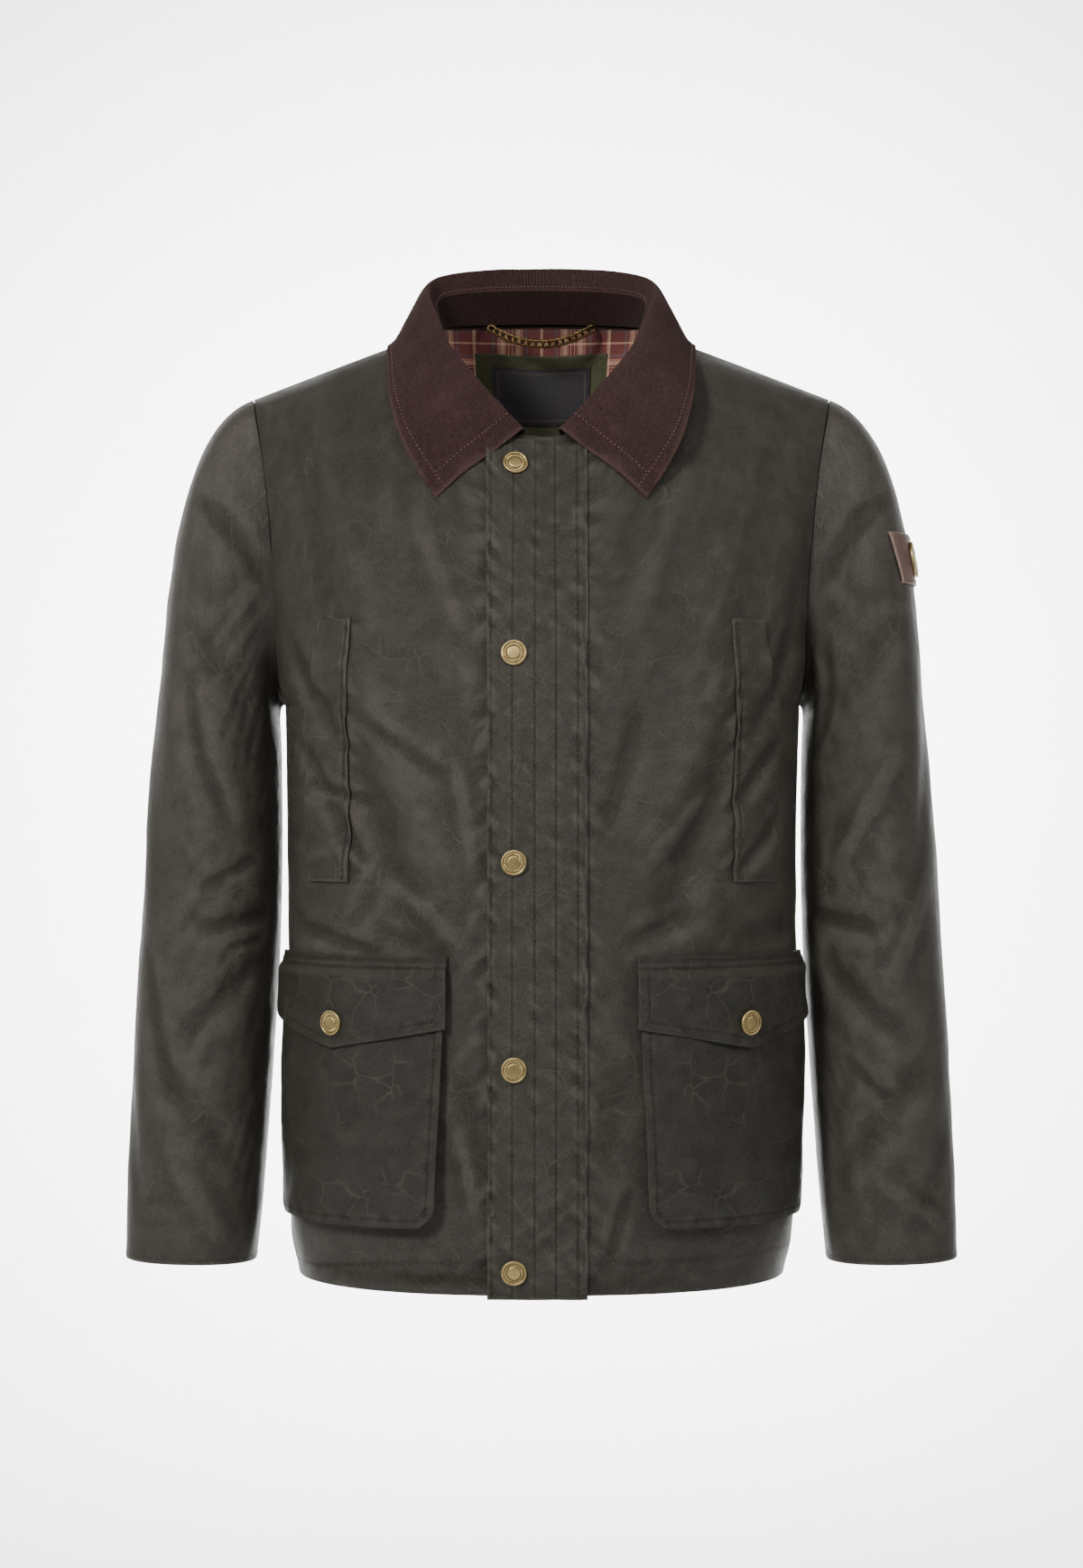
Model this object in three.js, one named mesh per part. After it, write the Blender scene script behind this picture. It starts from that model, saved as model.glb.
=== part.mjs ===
// A waxed cotton field jacket, snapped shut to the neck and filled out as if it were worn.
// Millimetres, +Z up. The front faces -Y and the wearer's left side is +X. The origin is the
// middle of the neck opening, level with the two points where the shoulder seams reach the collar.
//
// Cloth coordinates: a point of the body is named by its distance round the cloth from the
// centre front (or the centre back) and by its level, which is its height below the armpit and
// the height along the cloth above it. Everything sewn on a panel is made from the panel's own
// points, moved out, so it follows the same folds.
import * as THREE from 'three';

// Cloth and seams
const SHELL = 1.4; // waxed cotton with its turned layers
const LINING = 1.0; // brushed check cotton
const CORDUROY = 2.4; // two layers of corduroy and their stiffening
const SEAM = 0.3; // gap between two pieces at a seam
const PLY = 1.5; // a folded strip or flap laid on the shell

// Levels
const HEM = -727;
const ARMPIT = -293;
const ARMHOLE_DEPTH = 239;
const TOP = ARMPIT + ARMHOLE_DEPTH;

// Neck and shoulder
const NECK = { halfWidth: 78, front: 80, drop: 93, back: 62, rise: 12 };
const NECK_POINT = new THREE.Vector3(NECK.halfWidth, 0, 0);
const SHOULDER_TIP = new THREE.Vector3(224, 8, -54);
const SHOULDER_CROWN = 0.5; // how far the middle of the shoulder seam bows up
const NECK_CLOTH = 82; // cloth distance from the centre to the column that ends at the neck point

// The torso's rings, from the hem up
const SQUARENESS = 2.35; // exponent of the ring: 2 is an ellipse
const RINGS = [
  { level: HEM, halfWidth: 187, front: 127, back: 119 },
  { level: -702, halfWidth: 192, front: 131, back: 121 },
  { level: -676, halfWidth: 194, front: 133.5, back: 121.5 },
  { level: -600, halfWidth: 195, front: 136, back: 121 },
  { level: -467, halfWidth: 196.5, front: 138, back: 117 },
  { level: -380, halfWidth: 197.5, front: 140, back: 121 },
  { level: ARMPIT, halfWidth: 198.5, front: 140, back: 128 },
];
const SIDE_SEAM_BACK = 10; // the side seam lies this far behind the widest point

// How a panel leaves the armpit ring and reaches its top edge
const SPREAD = 95; // how far the torso widens towards the armhole
const FRONT_RISE = { y: 0, arriveY: [0.4, 0.92, 0.97], arriveZ: [0.9, 0.42, 0.25], reach: [200, 210, 235] };
const BACK_RISE = { y: 22, arriveY: [-0.75, -0.9, -0.95], arriveZ: [0.6, 0.4, 0.25], reach: [255, 250, 235] };

// The armhole: share of the panel's width that is left at each share of the armhole's height
const ARMHOLE = [
  { share: 0, front: 1, back: 1 },
  { share: 0.05, front: 0.925, back: 0.935 },
  { share: 0.13, front: 0.872, back: 0.895 },
  { share: 0.25, front: 0.845, back: 0.87 },
  { share: 0.4, front: 0.865, back: 0.875 },
  { share: 0.6, front: 0.918, back: 0.915 },
  { share: 0.8, front: 0.967, back: 0.965 },
  { share: 1, front: 1, back: 1 },
];

// Sleeve rings below the armpit, for the wearer's left side
const BICEP = -332;
const SLEEVE = [
  { level: -715, outer: 318.5, inner: 218.5, middleY: -22, halfDepth: 42 },
  { level: -669, outer: 317.8, inner: 214.5, middleY: -14, halfDepth: 46 },
  { level: -601, outer: 316, inner: 210, middleY: -6, halfDepth: 51 },
  { level: -534, outer: 313, inner: 206, middleY: 0, halfDepth: 55 },
  { level: -467, outer: 309, inner: 202.8, middleY: 4, halfDepth: 60 },
  { level: -400, outer: 305, inner: 201.8, middleY: 6, halfDepth: 64 },
  { level: BICEP, outer: 299.5, inner: 202.2, middleY: 6, halfDepth: 68 },
];
const SLEEVE_TILT = 0.02; // a sleeve ring rises to the outside, square to the sleeve
const SLEEVE_SQUARENESS = 2.2;

// How the sleeve leaves the armhole, by its turn round the sleeve: 0 is the shoulder tip,
// 0.25 the front, 0.5 the armpit and 0.75 the back
const CAP = [
  { turn: 0, out: 200, ahead: 0, up: -70, land: 240 },
  { turn: 0.125, out: 130, ahead: 24, up: -78, land: 190 },
  { turn: 0.25, out: 60, ahead: 18, up: -62, land: 120 },
  { turn: 0.375, out: 34, ahead: 10, up: -30, land: 80 },
  { turn: 0.5, out: 22, ahead: 0, up: 14, land: 60 },
  { turn: 0.625, out: 34, ahead: -10, up: -30, land: 80 },
  { turn: 0.75, out: 60, ahead: -18, up: -62, land: 120 },
  { turn: 0.875, out: 130, ahead: -24, up: -78, land: 190 },
  { turn: 1, out: 200, ahead: 0, up: -70, land: 240 },
];

// The largest folds: a soft trough or ridge between two points of the cloth.
// Depth is positive where the cloth stands out.
const FRONT_FOLDS = [
  { from: [146, -322], to: [84, -474], width: 15, depth: -4.5 },
  { from: [138, -272], to: [58, -436], width: 17, depth: 3.2 },
  { from: [112, -236], to: [36, -372], width: 20, depth: -2.6 },
  { from: [222, -118], to: [150, -262], width: 15, depth: -2.8 },
  { from: [226, -455], to: [150, -470], width: 12, depth: -2.4 },
  { from: [60, -560], to: [44, -640], width: 12, depth: -2.2 },
];
const BACK_FOLDS = [
  { from: [196, -150], to: [120, -300], width: 20, depth: -3.4 },
  { from: [176, -110], to: [92, -236], width: 20, depth: 2.4 },
  { from: [214, -400], to: [96, -470], width: 18, depth: -3.2 },
  { from: [200, -440], to: [70, -520], width: 18, depth: 2.6 },
];
// Sleeve folds run between a turn and a level at each end
const SLEEVE_FOLDS = [
  { from: [0.05, -126], to: [0.33, -212], width: 9, depth: -4.4 },
  { from: [0.12, -226], to: [0.38, -306], width: 13, depth: -3 },
  { from: [0.42, -452], to: [0.24, -462], width: 9, depth: -3.2 },
  { from: [0.38, -486], to: [0.2, -548], width: 12, depth: -3 },
  { from: [0.16, -560], to: [0.34, -640], width: 14, depth: -2.6 },
  { from: [0.58, -440], to: [0.84, -470], width: 13, depth: -4 },
  { from: [0.6, -500], to: [0.86, -530], width: 13, depth: -3.4 },
  { from: [0.92, -230], to: [0.7, -330], width: 16, depth: -3.6 },
];
const SLEEVE_GIRTH = 370;

// Grid lines of the cloth. The edges of everything sewn on fall on them.
const PLACKET = { right: 39, left: 33, below: 2.5, top: -96 };
const WELT = { inner: 150, middle: 171, outer: 192, bottom: -425, top: -241 };
const FRONT_LINES = [52, 68, NECK_CLOTH, 104, 127, WELT.inner, WELT.middle, WELT.outer, 218, 243];
const BACK_LINES = [0, 28, 56, NECK_CLOTH, 116, 150, 184, 216, 244];
const TOP_SEAM = TOP - SEAM / 2;
const BODY_LEVELS = [HEM, -702, -676, -640, -600, -560, -526, -504, -480, -452, WELT.bottom,
  -380, -336, ARMPIT, -279, -262, WELT.top, -216, -190, -164, -138, -112, -82, TOP_SEAM];
const LINING_LEVELS = [HEM + 28, ...BODY_LEVELS.slice(2, -1), TOP_SEAM - 1];

// Pockets, in cloth coordinates
const POCKET = {
  inner: 72, outer: 242, top: -496, bottom: -677, corner: 18, inset: 5,
  standTop: 5.5, standBottom: 12.5, standSide: 6.5,
};
const FLAP = { clear: 0.9, inner: 70, point: 157, outer: 244, top: -480, innerDrop: -531, pointDrop: -547, outerDrop: -527 };
const FLAP_RIDGE = { height: 6, stand: 0.9 };

// Snap fasteners
const SNAP = { radius: 9.4, height: 2.4, rim: 1.6, dish: 0.7, stud: 4.2 };
const SNAP_LINE = -20;
const SNAP_LEVELS = [-116, -258, -410, -561, -709];

// Back of the neck: facing patch, woven label and hanger chain
const PATCH = { halfWidth: 50, heights: [-72, -50, -28, -8], gap: 0.8 };
const LABEL = { halfWidth: 39, heights: [-61, -46, -31, -17], gap: 0.6 };
const CHAIN = { halfSpan: 41, height: 8.2, sag: 13, wide: 2.5, thick: 1.1, pitch: 4.8, clear: 0.1 };

// Sleeve badge, on the wearer's left sleeve
const BADGE = { from: -0.045, to: 0.085, top: -161, bottom: -199, thick: 1.8, gap: 1.4 };
const PLAQUE = { turn: 0.022, level: -180, halfWide: 11, halfTall: 14, thick: 1.6 };

// The collar, from its front end to the centre back: the turn of the neck seam, the crest of
// its roll, and the outer edge of the leaf before it is laid on the body
const COLLAR = [
  { q: 0, turn: 0.066, crest: [15.5, -86, -87.5], edge: [77, -98, -141], stand: 0 },
  { q: 0.1, turn: 0.135, crest: [33, -80, -67], edge: [92, -96, -118], stand: 0.1 },
  { q: 0.22, turn: 0.235, crest: [53, -69, -43], edge: [105, -88, -92], stand: 0.3 },
  { q: 0.35, turn: 0.335, crest: [70, -50, -19], edge: [114, -66, -60], stand: 0.45 },
  { q: 0.48, turn: 0.43, crest: [81, -24, 8], edge: [117, -36, -34], stand: 0.5 },
  { q: 0.6, turn: 0.52, crest: [87, 4, 31], edge: [113.5, 4, -15], stand: 0.5 },
  { q: 0.73, turn: 0.65, crest: [81, 32, 46], edge: [101, 46, -10], stand: 0.5 },
  { q: 0.86, turn: 0.81, crest: [50, 56, 55.5], edge: [62, 80, -12], stand: 0.5 },
  { q: 1, turn: 1, crest: [0, 65, 58.5], edge: [0, 94, -14], stand: 0.5 },
];
const STAND_GAP = 1.35; // the stand is sewn this far inside the neck seam
const ROLL = 4.2; // half the width of the roll over the neck
const LEAF_LIFT = CORDUROY + 3.3; // the leaf's upper face above the body it lies on

const COLOURS = {
  wax: 0x3c382f, corduroy: 0x35201f, check: 0x6a3836, brass: 0xb0904f,
  label: 0x26222a, patch: 0x2b2c1e, leather: 0x5d4440,
};

// Small maths
const clamp = (value, low, high) => Math.min(high, Math.max(low, value));
const lerp = (a, b, k) => a + (b - a) * k;
const smooth = (low, high, value) => {
  const k = clamp((value - low) / (high - low), 0, 1);
  return k * k * (3 - 2 * k);
};
const vector = (x, y, z) => new THREE.Vector3(x, y, z);
const moved = (point, direction, distance) => point.clone().addScaledVector(direction, distance);
const mirrored = (point) => vector(-point.x, point.y, point.z);

// A cubic from a to b that leaves along startPull and arrives along endPull
function cubic(a, b, startPull, endPull, k) {
  const k2 = k * k;
  const k3 = k2 * k;
  return a.clone().multiplyScalar(2 * k3 - 3 * k2 + 1)
    .addScaledVector(b, 3 * k2 - 2 * k3)
    .addScaledVector(startPull, k3 - 2 * k2 + k)
    .addScaledVector(endPull, k3 - k2);
}

// Reads one column of a table on a smooth curve through its rows
function column(table, along, read) {
  const x = table.map((row) => row[along]);
  const y = table.map(read);
  const last = x.length - 1;
  const slope = x.map((_, i) => {
    const before = Math.max(i - 1, 0);
    const after = Math.min(i + 1, last);
    return (y[after] - y[before]) / (x[after] - x[before]);
  });
  return (at) => {
    let i = 1;
    while (i < last && at > x[i]) i += 1;
    const span = x[i] - x[i - 1];
    const k = clamp((at - x[i - 1]) / span, 0, 1);
    const k2 = k * k;
    const k3 = k2 * k;
    return y[i - 1] * (2 * k3 - 3 * k2 + 1) + y[i] * (3 * k2 - 2 * k3)
      + slope[i - 1] * span * (k3 - 2 * k2 + k) + slope[i] * span * (k3 - k2);
  };
}

// Three values for the centre, the neck point and the shoulder, read at a share of the width
function blendOfThree(values, share) {
  const neckShare = 0.3;
  return share < neckShare
    ? lerp(values[0], values[1], smooth(0, neckShare, share))
    : lerp(values[1], values[2], smooth(neckShare, 1, share));
}

// The torso below the armpit
const ringWidth = column(RINGS, 'level', (row) => row.halfWidth);
const ringFront = column(RINGS, 'level', (row) => row.front);
const ringBack = column(RINGS, 'level', (row) => row.back);
const ringCache = new Map();

function ringAt(level) {
  if (ringCache.has(level)) return ringCache.get(level);
  const power = 2 / SQUARENESS;
  const steps = 160;
  const point = (angle) => {
    const across = Math.sin(angle) ** power;
    const along = Math.abs(Math.cos(angle)) ** power;
    const y = Math.cos(angle) > 0 ? -ringFront(level) * along : ringBack(level) * along;
    return vector(ringWidth(level) * Math.max(across, 0), y, level);
  };
  const lengths = [0];
  let before = point(0);
  for (let i = 1; i <= steps; i += 1) {
    const here = point(Math.PI * Math.min(i / steps, 1));
    lengths.push(lengths[i - 1] + here.distanceTo(before));
    before = here;
  }
  const ring = {
    total: lengths[steps],
    side: lengths[steps / 2] + SIDE_SEAM_BACK,
    at(distance) {
      let i = 1;
      while (i < steps && lengths[i] < distance) i += 1;
      const k = clamp((distance - lengths[i - 1]) / (lengths[i] - lengths[i - 1]), 0, 1);
      return point((Math.PI * (i - 1 + k)) / steps);
    },
  };
  ringCache.set(level, ring);
  return ring;
}

const FRONT_WIDTH = ringAt(ARMPIT).side;
const BACK_WIDTH = ringAt(ARMPIT).total - FRONT_WIDTH;

// Neck seam: turn 0 is the centre front, 0.5 the neck point and 1 the centre back
function neckSeam(turn) {
  const angle = Math.PI * turn;
  const c = Math.cos(angle);
  return vector(
    NECK.halfWidth * Math.sin(angle),
    c > 0 ? -NECK.front * c : -NECK.back * c,
    c > 0 ? -NECK.drop * c : -NECK.rise * c,
  );
}

// Where a column of cloth ends at the top: on the neck seam or on the shoulder seam
function topEdge(distance, width, isFront) {
  if (distance <= NECK_CLOTH) {
    const share = distance / NECK_CLOTH;
    const even = (share * Math.PI) / 2;
    const angle = lerp(Math.asin(share), even, share * share);
    const turn = angle / Math.PI;
    return neckSeam(isFront ? turn : 1 - turn);
  }
  const k = (distance - NECK_CLOTH) / (width - NECK_CLOTH);
  const seam = NECK_POINT.clone().lerp(SHOULDER_TIP, k);
  seam.z += SHOULDER_CROWN * Math.sin(Math.PI * k);
  return seam;
}

// The smooth body surface. Distance is signed: positive on the wearer's left.
function bodySurface(distance, level, isFront) {
  const away = Math.abs(distance);
  const ringLevel = Math.min(level, ARMPIT);
  const ring = ringAt(ringLevel);
  const start = ring.at(isFront ? away : ring.total - away);
  let point = start;
  if (level > ARMPIT) {
    const width = isFront ? FRONT_WIDTH : BACK_WIDTH;
    const rise = isFront ? FRONT_RISE : BACK_RISE;
    const share = away / width;
    const leave = vector(SPREAD * share ** 3, rise.y * (1 - share ** 2), ARMHOLE_DEPTH);
    const reach = blendOfThree(rise.reach, share);
    const arrive = vector(0, blendOfThree(rise.arriveY, share) * reach, blendOfThree(rise.arriveZ, share) * reach);
    point = cubic(start, topEdge(away, width, isFront), leave, arrive, (level - ARMPIT) / ARMHOLE_DEPTH);
  }
  return distance < 0 ? mirrored(point) : point;
}

// Outward normal of any surface given by two coordinates
function normalOf(surface, a, b, step, facing) {
  const alongA = surface(a + step.a, b).sub(surface(a - step.a, b));
  const alongB = surface(a, b + step.b).sub(surface(a, b - step.b));
  return alongA.cross(alongB).multiplyScalar(facing).normalize();
}

// Height of the folds at a point of the cloth
function foldHeight(folds, across, along, acrossScale = 1) {
  let height = 0;
  for (const fold of folds) {
    const ax = fold.from[0] * acrossScale;
    const bx = fold.to[0] * acrossScale;
    const dx = bx - ax;
    const dy = fold.to[1] - fold.from[1];
    const length = Math.hypot(dx, dy);
    const px = across * acrossScale - ax;
    const py = along - fold.from[1];
    const along01 = (px * dx + py * dy) / (length * length);
    const off = (px * dy - py * dx) / length;
    const ends = smooth(-0.12, 0.3, along01) * (1 - smooth(0.7, 1.12, along01));
    height += fold.depth * ends * Math.exp(-((off / fold.width) ** 2));
  }
  return height;
}

// The outward normal beside the shoulder seam. Both panels use the mean of the two there.
function shoulderNormal(distance, isFront) {
  const surface = (a, b) => bodySurface(a, b, isFront);
  const width = isFront ? FRONT_WIDTH : BACK_WIDTH;
  const other = isFront ? BACK_WIDTH : FRONT_WIDTH;
  const share = clamp((Math.abs(distance) - NECK_CLOTH) / (other - NECK_CLOTH), 0, 1);
  const across = Math.sign(distance) * lerp(NECK_CLOTH, width, share);
  return normalOf(surface, across, TOP - 0.6, { a: 0.5, b: 0.5 }, isFront ? 1 : -1);
}

// A point of the body cloth and its outward normal. Lift moves it off the shell's outer face.
function bodyCloth(distance, level, isFront, lift = 0) {
  const surface = (a, b) => bodySurface(a, b, isFront);
  const width = isFront ? FRONT_WIDTH : BACK_WIDTH;
  const safeLevel = clamp(level, HEM - 5, TOP - 0.6);
  const normal = normalOf(surface, distance, safeLevel, { a: 0.5, b: 0.5 }, isFront ? 1 : -1);
  const away = Math.abs(distance);
  if (level > TOP - 1 && away > NECK_CLOTH - 1) normal.add(shoulderNormal(distance, !isFront)).normalize();
  const edgeFade = 1 - smooth(width * 0.86, width * 0.97, away);
  const topFade = 1 - smooth(TOP - 60, TOP - 10, level);
  const fold = foldHeight(isFront ? FRONT_FOLDS : BACK_FOLDS, away, level) * edgeFade * topFade;
  return { point: moved(bodySurface(distance, level, isFront), normal, fold + lift), normal };
}

// The panel's outer edge: the side seam, then the armhole
const armholeFront = column(ARMHOLE, 'share', (row) => row.front);
const armholeBack = column(ARMHOLE, 'share', (row) => row.back);

function panelEdge(level, isFront) {
  if (level > ARMPIT) {
    const share = (level - ARMPIT) / ARMHOLE_DEPTH;
    return isFront ? FRONT_WIDTH * armholeFront(share) : BACK_WIDTH * armholeBack(share);
  }
  const ring = ringAt(level);
  return isFront ? ring.side : ring.total - ring.side;
}

// A column keeps its distance near the centre and follows the panel's edge near the edge
function columnAt(distance, level, isFront) {
  const width = isFront ? FRONT_WIDTH : BACK_WIDTH;
  const away = Math.abs(distance);
  const shift = (panelEdge(level, isFront) - width) * smooth(0.45, 1, away / width);
  return Math.sign(distance) * (away + shift);
}

// Closed solid between a sheet's outer points and its inner points. cells[i][j] holds both.
// A tube closes on itself along j.
function wallGeometry(cells, isTube = false) {
  const m = cells.length;
  const n = cells[0].length;
  const position = [];
  for (const side of ['outer', 'inner']) {
    cells.forEach((row) => row.forEach((cell) => position.push(cell[side].x, cell[side].y, cell[side].z)));
  }
  const outer = (i, j) => i * n + (j % n);
  const inner = (i, j) => m * n + i * n + (j % n);
  const index = [];
  const quad = (a, b, c, d) => index.push(a, b, c, a, c, d);
  const spans = isTube ? n : n - 1;
  for (let j = 0; j < spans; j += 1) {
    for (let i = 0; i < m - 1; i += 1) {
      quad(outer(i, j), outer(i, j + 1), outer(i + 1, j + 1), outer(i + 1, j));
      quad(inner(i, j), inner(i + 1, j), inner(i + 1, j + 1), inner(i, j + 1));
    }
    quad(inner(0, j), inner(0, j + 1), outer(0, j + 1), outer(0, j));
    quad(outer(m - 1, j), outer(m - 1, j + 1), inner(m - 1, j + 1), inner(m - 1, j));
  }
  if (!isTube) {
    for (let i = 0; i < m - 1; i += 1) {
      quad(outer(i, 0), outer(i + 1, 0), inner(i + 1, 0), inner(i, 0));
      quad(inner(i, n - 1), inner(i + 1, n - 1), outer(i + 1, n - 1), outer(i, n - 1));
    }
  }
  return facingOut(position, index);
}

// Builds the geometry and turns every face round if the solid is inside out
function facingOut(position, index) {
  const at = (i) => vector(position[3 * i], position[3 * i + 1], position[3 * i + 2]);
  let volume = 0;
  for (let i = 0; i < index.length; i += 3) {
    volume += at(index[i]).dot(at(index[i + 1]).cross(at(index[i + 2])));
  }
  if (volume < 0) {
    for (let i = 0; i < index.length; i += 3) [index[i + 1], index[i + 2]] = [index[i + 2], index[i + 1]];
  }
  const geometry = new THREE.BufferGeometry();
  geometry.setAttribute('position', new THREE.Float32BufferAttribute(position, 3));
  geometry.setIndex(index);
  return geometry;
}

// A wall on the body: outer face at lift + thick above the shell's outer face
function bodyWall(distances, levels, isFront, lift, thick, shape = (distance) => distance) {
  return wallGeometry(levels.map((level) => distances.map((distance) => {
    const { point, normal } = bodyCloth(shape(distance, level), level, isFront, lift);
    return { outer: moved(point, normal, thick), inner: point };
  })));
}

// Front panel of one side, from the centre front to the side seam and armhole
function frontPanel(side) {
  const centre = SEAM / 2;
  const lines = side > 0 ? [centre, 16, PLACKET.left, ...FRONT_LINES] : [centre, 20, PLACKET.right, ...FRONT_LINES];
  const distances = [...lines, FRONT_WIDTH - SEAM / 2].map((distance) => side * distance);
  distances.sort((a, b) => a - b);
  return bodyWall(distances, BODY_LEVELS, true, -SHELL, SHELL, (d, level) => columnAt(d, level, true));
}

const backDistances = (edge) => {
  const half = [...BACK_LINES, edge];
  return [...half.slice(1).reverse().map((distance) => -distance), ...half];
};

function backPanel() {
  const shape = (d, level) => columnAt(d, level, false);
  return bodyWall(backDistances(BACK_WIDTH - SEAM / 2), BODY_LEVELS, false, -SHELL, SHELL, shape);
}

function backLining() {
  const shape = (d, level) => columnAt(d, level, false);
  const lift = -(SHELL + SEAM + LINING);
  return bodyWall(backDistances(BACK_WIDTH - SEAM / 2), LINING_LEVELS, false, lift, LINING, shape);
}

// Storm placket: a strip over the meeting fronts, cut straight across at the neck
function placket() {
  const distances = [-PLACKET.right, -20, -SEAM / 2, 16, PLACKET.left];
  const below = { level: HEM - PLACKET.below };
  const levels = [below.level, ...BODY_LEVELS.slice(1)];
  const topOf = (distance) => levelAt(distance, PLACKET.top, true);
  return wallGeometry(levels.map((level) => distances.map((distance) => {
    const cut = Math.min(level, topOf(distance));
    const { point, normal } = bodyCloth(distance, cut, true, SEAM);
    return { outer: moved(point, normal, PLY), inner: point };
  })).filter((row, i, all) => i === 0 || row[2].outer.distanceTo(all[i - 1][2].outer) > 1));
}

// Level at which a column reaches a given height
function levelAt(distance, height, isFront) {
  let low = ARMPIT;
  let high = TOP;
  for (let i = 0; i < 24; i += 1) {
    const middle = (low + high) / 2;
    if (bodySurface(distance, middle, isFront).z < height) low = middle;
    else high = middle;
  }
  return low;
}

// Hand-warmer welt on the chest
function welt(side) {
  const distances = [WELT.inner, WELT.middle, WELT.outer].map((distance) => side * distance);
  distances.sort((a, b) => a - b);
  const levels = BODY_LEVELS.filter((level) => level >= WELT.bottom && level <= WELT.top);
  return bodyWall(distances, levels, true, SEAM, PLY, (d, level) => columnAt(d, level, true));
}

// Bellows pocket. Stand is how far its front lies off the shell.
function pocketStand(distance, level) {
  const down = smooth(POCKET.top, POCKET.bottom, level);
  const side = smooth(FLAP.point, POCKET.outer, Math.abs(distance));
  return lerp(lerp(POCKET.standTop, POCKET.standBottom, down), POCKET.standSide, side * down);
}

// The pocket's edges at a level, drawn in at the rounded bottom corners
function pocketEdges(level, inset = 0) {
  const up = clamp(level - (POCKET.bottom + inset), 0, POCKET.corner);
  const round = POCKET.corner - Math.sqrt(POCKET.corner ** 2 - (POCKET.corner - up) ** 2);
  const lean = POCKET.inset * smooth(POCKET.top, POCKET.bottom, level);
  return { inner: POCKET.inner + lean + inset + round, outer: POCKET.outer - inset - round };
}

const pocketRows = () => {
  const corner = [0, 0.06, 0.22, 0.5, 1].map((k) => POCKET.bottom + POCKET.corner * k);
  return [...corner, -630, -600, -570, -545, -520, POCKET.top];
};

function pocketFront(side) {
  const columns = 9;
  return wallGeometry(pocketRows().map((level) => {
    const { inner, outer } = pocketEdges(level);
    return Array.from({ length: columns }, (_, j) => {
      const distance = lerp(inner, outer, j / (columns - 1));
      const stand = pocketStand(distance, level);
      const { point, normal } = bodyCloth(side * columnAt(distance, level, true), level, true, stand - PLY);
      return { outer: moved(point, normal, PLY), inner: point };
    });
  }));
}

// The gusset runs down one side of the pocket, round the bottom and up the other side
function pocketGusset(side) {
  const inset = 1;
  const rows = pocketRows();
  const path = [];
  [...rows].reverse().forEach((level) => path.push({ distance: pocketEdges(level, inset).inner, level: Math.max(level, POCKET.bottom + inset) }));
  const low = pocketEdges(POCKET.bottom, inset);
  for (let k = 1; k < 7; k += 1) {
    path.push({ distance: lerp(low.inner, low.outer, k / 7), level: POCKET.bottom + inset });
  }
  rows.forEach((level) => path.push({ distance: pocketEdges(level, inset).outer, level: Math.max(level, POCKET.bottom + inset) }));
  const clean = path.filter((p, i) => i === 0 || Math.hypot(p.distance - path[i - 1].distance, p.level - path[i - 1].level) > 0.4);
  const heights = [0, 1];
  return wallGeometry(clean.map((p, i) => {
    const a = clean[Math.max(i - 1, 0)];
    const b = clean[Math.min(i + 1, clean.length - 1)];
    const run = Math.hypot(b.distance - a.distance, b.level - a.level);
    const inward = { d: (b.level - a.level) / -run, l: (b.distance - a.distance) / run };
    return heights.map((k) => {
      const reach = pocketStand(p.distance, p.level) - PLY - SEAM * 2.5;
      const lift = lerp(SEAM + 0.2, reach, k);
      const on = (offset) => {
        const d = columnAt(p.distance + inward.d * offset, p.level, true);
        return bodyCloth(side * d, p.level + inward.l * offset, true, lift).point;
      };
      return { outer: on(0), inner: on(SHELL) };
    });
  }));
}

// The pocket flap hangs from the shell and comes to a point over its snap
function flapDrop(distance) {
  return distance < FLAP.point
    ? lerp(FLAP.innerDrop, FLAP.pointDrop, (distance - FLAP.inner) / (FLAP.point - FLAP.inner))
    : lerp(FLAP.pointDrop, FLAP.outerDrop, (distance - FLAP.point) / (FLAP.outer - FLAP.point));
}

function flapLift(distance, level) {
  const over = smooth(FLAP.top - 1, POCKET.top + 2, level);
  const pocket = pocketStand(distance, Math.min(level, POCKET.top)) + FLAP.clear;
  return lerp(FLAP.clear, pocket, over);
}

function flapPoint(side, distance, level, raise) {
  const lift = flapLift(distance, level) + raise;
  return bodyCloth(side * columnAt(distance, level, true), level, true, lift);
}

function pocketFlap(side) {
  const distances = [FLAP.inner, 88, 108, 132, FLAP.point, 180, 202, 224, FLAP.outer];
  const shares = [0, 0.1, 0.22, 0.36, 0.52, 0.76, 1];
  return wallGeometry(shares.map((share) => distances.map((distance) => {
    const level = lerp(FLAP.top, flapDrop(distance), share);
    const ridge = FLAP.top - level < FLAP_RIDGE.height ? FLAP_RIDGE.stand : 0;
    const { point, normal } = flapPoint(side, distance, level, 0);
    return { outer: moved(point, normal, PLY + ridge), inner: point };
  })));
}

// A snap cap: a domed rim round a sunk field with a flat stud in the middle
function snapCap() {
  const { radius, height, rim, dish, stud } = SNAP;
  const profile = [
    [0, 0], [radius - 0.8, 0], [radius, 0.8], [radius, height - 0.8], [radius - 0.6, height],
    [radius - rim, height], [radius - rim - 0.4, height - dish], [stud + 0.4, height - dish],
    [stud, height - 0.1], [0, height],
  ].map(([r, h]) => new THREE.Vector2(r, h));
  return new THREE.LatheGeometry(profile, 16);
}

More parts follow.
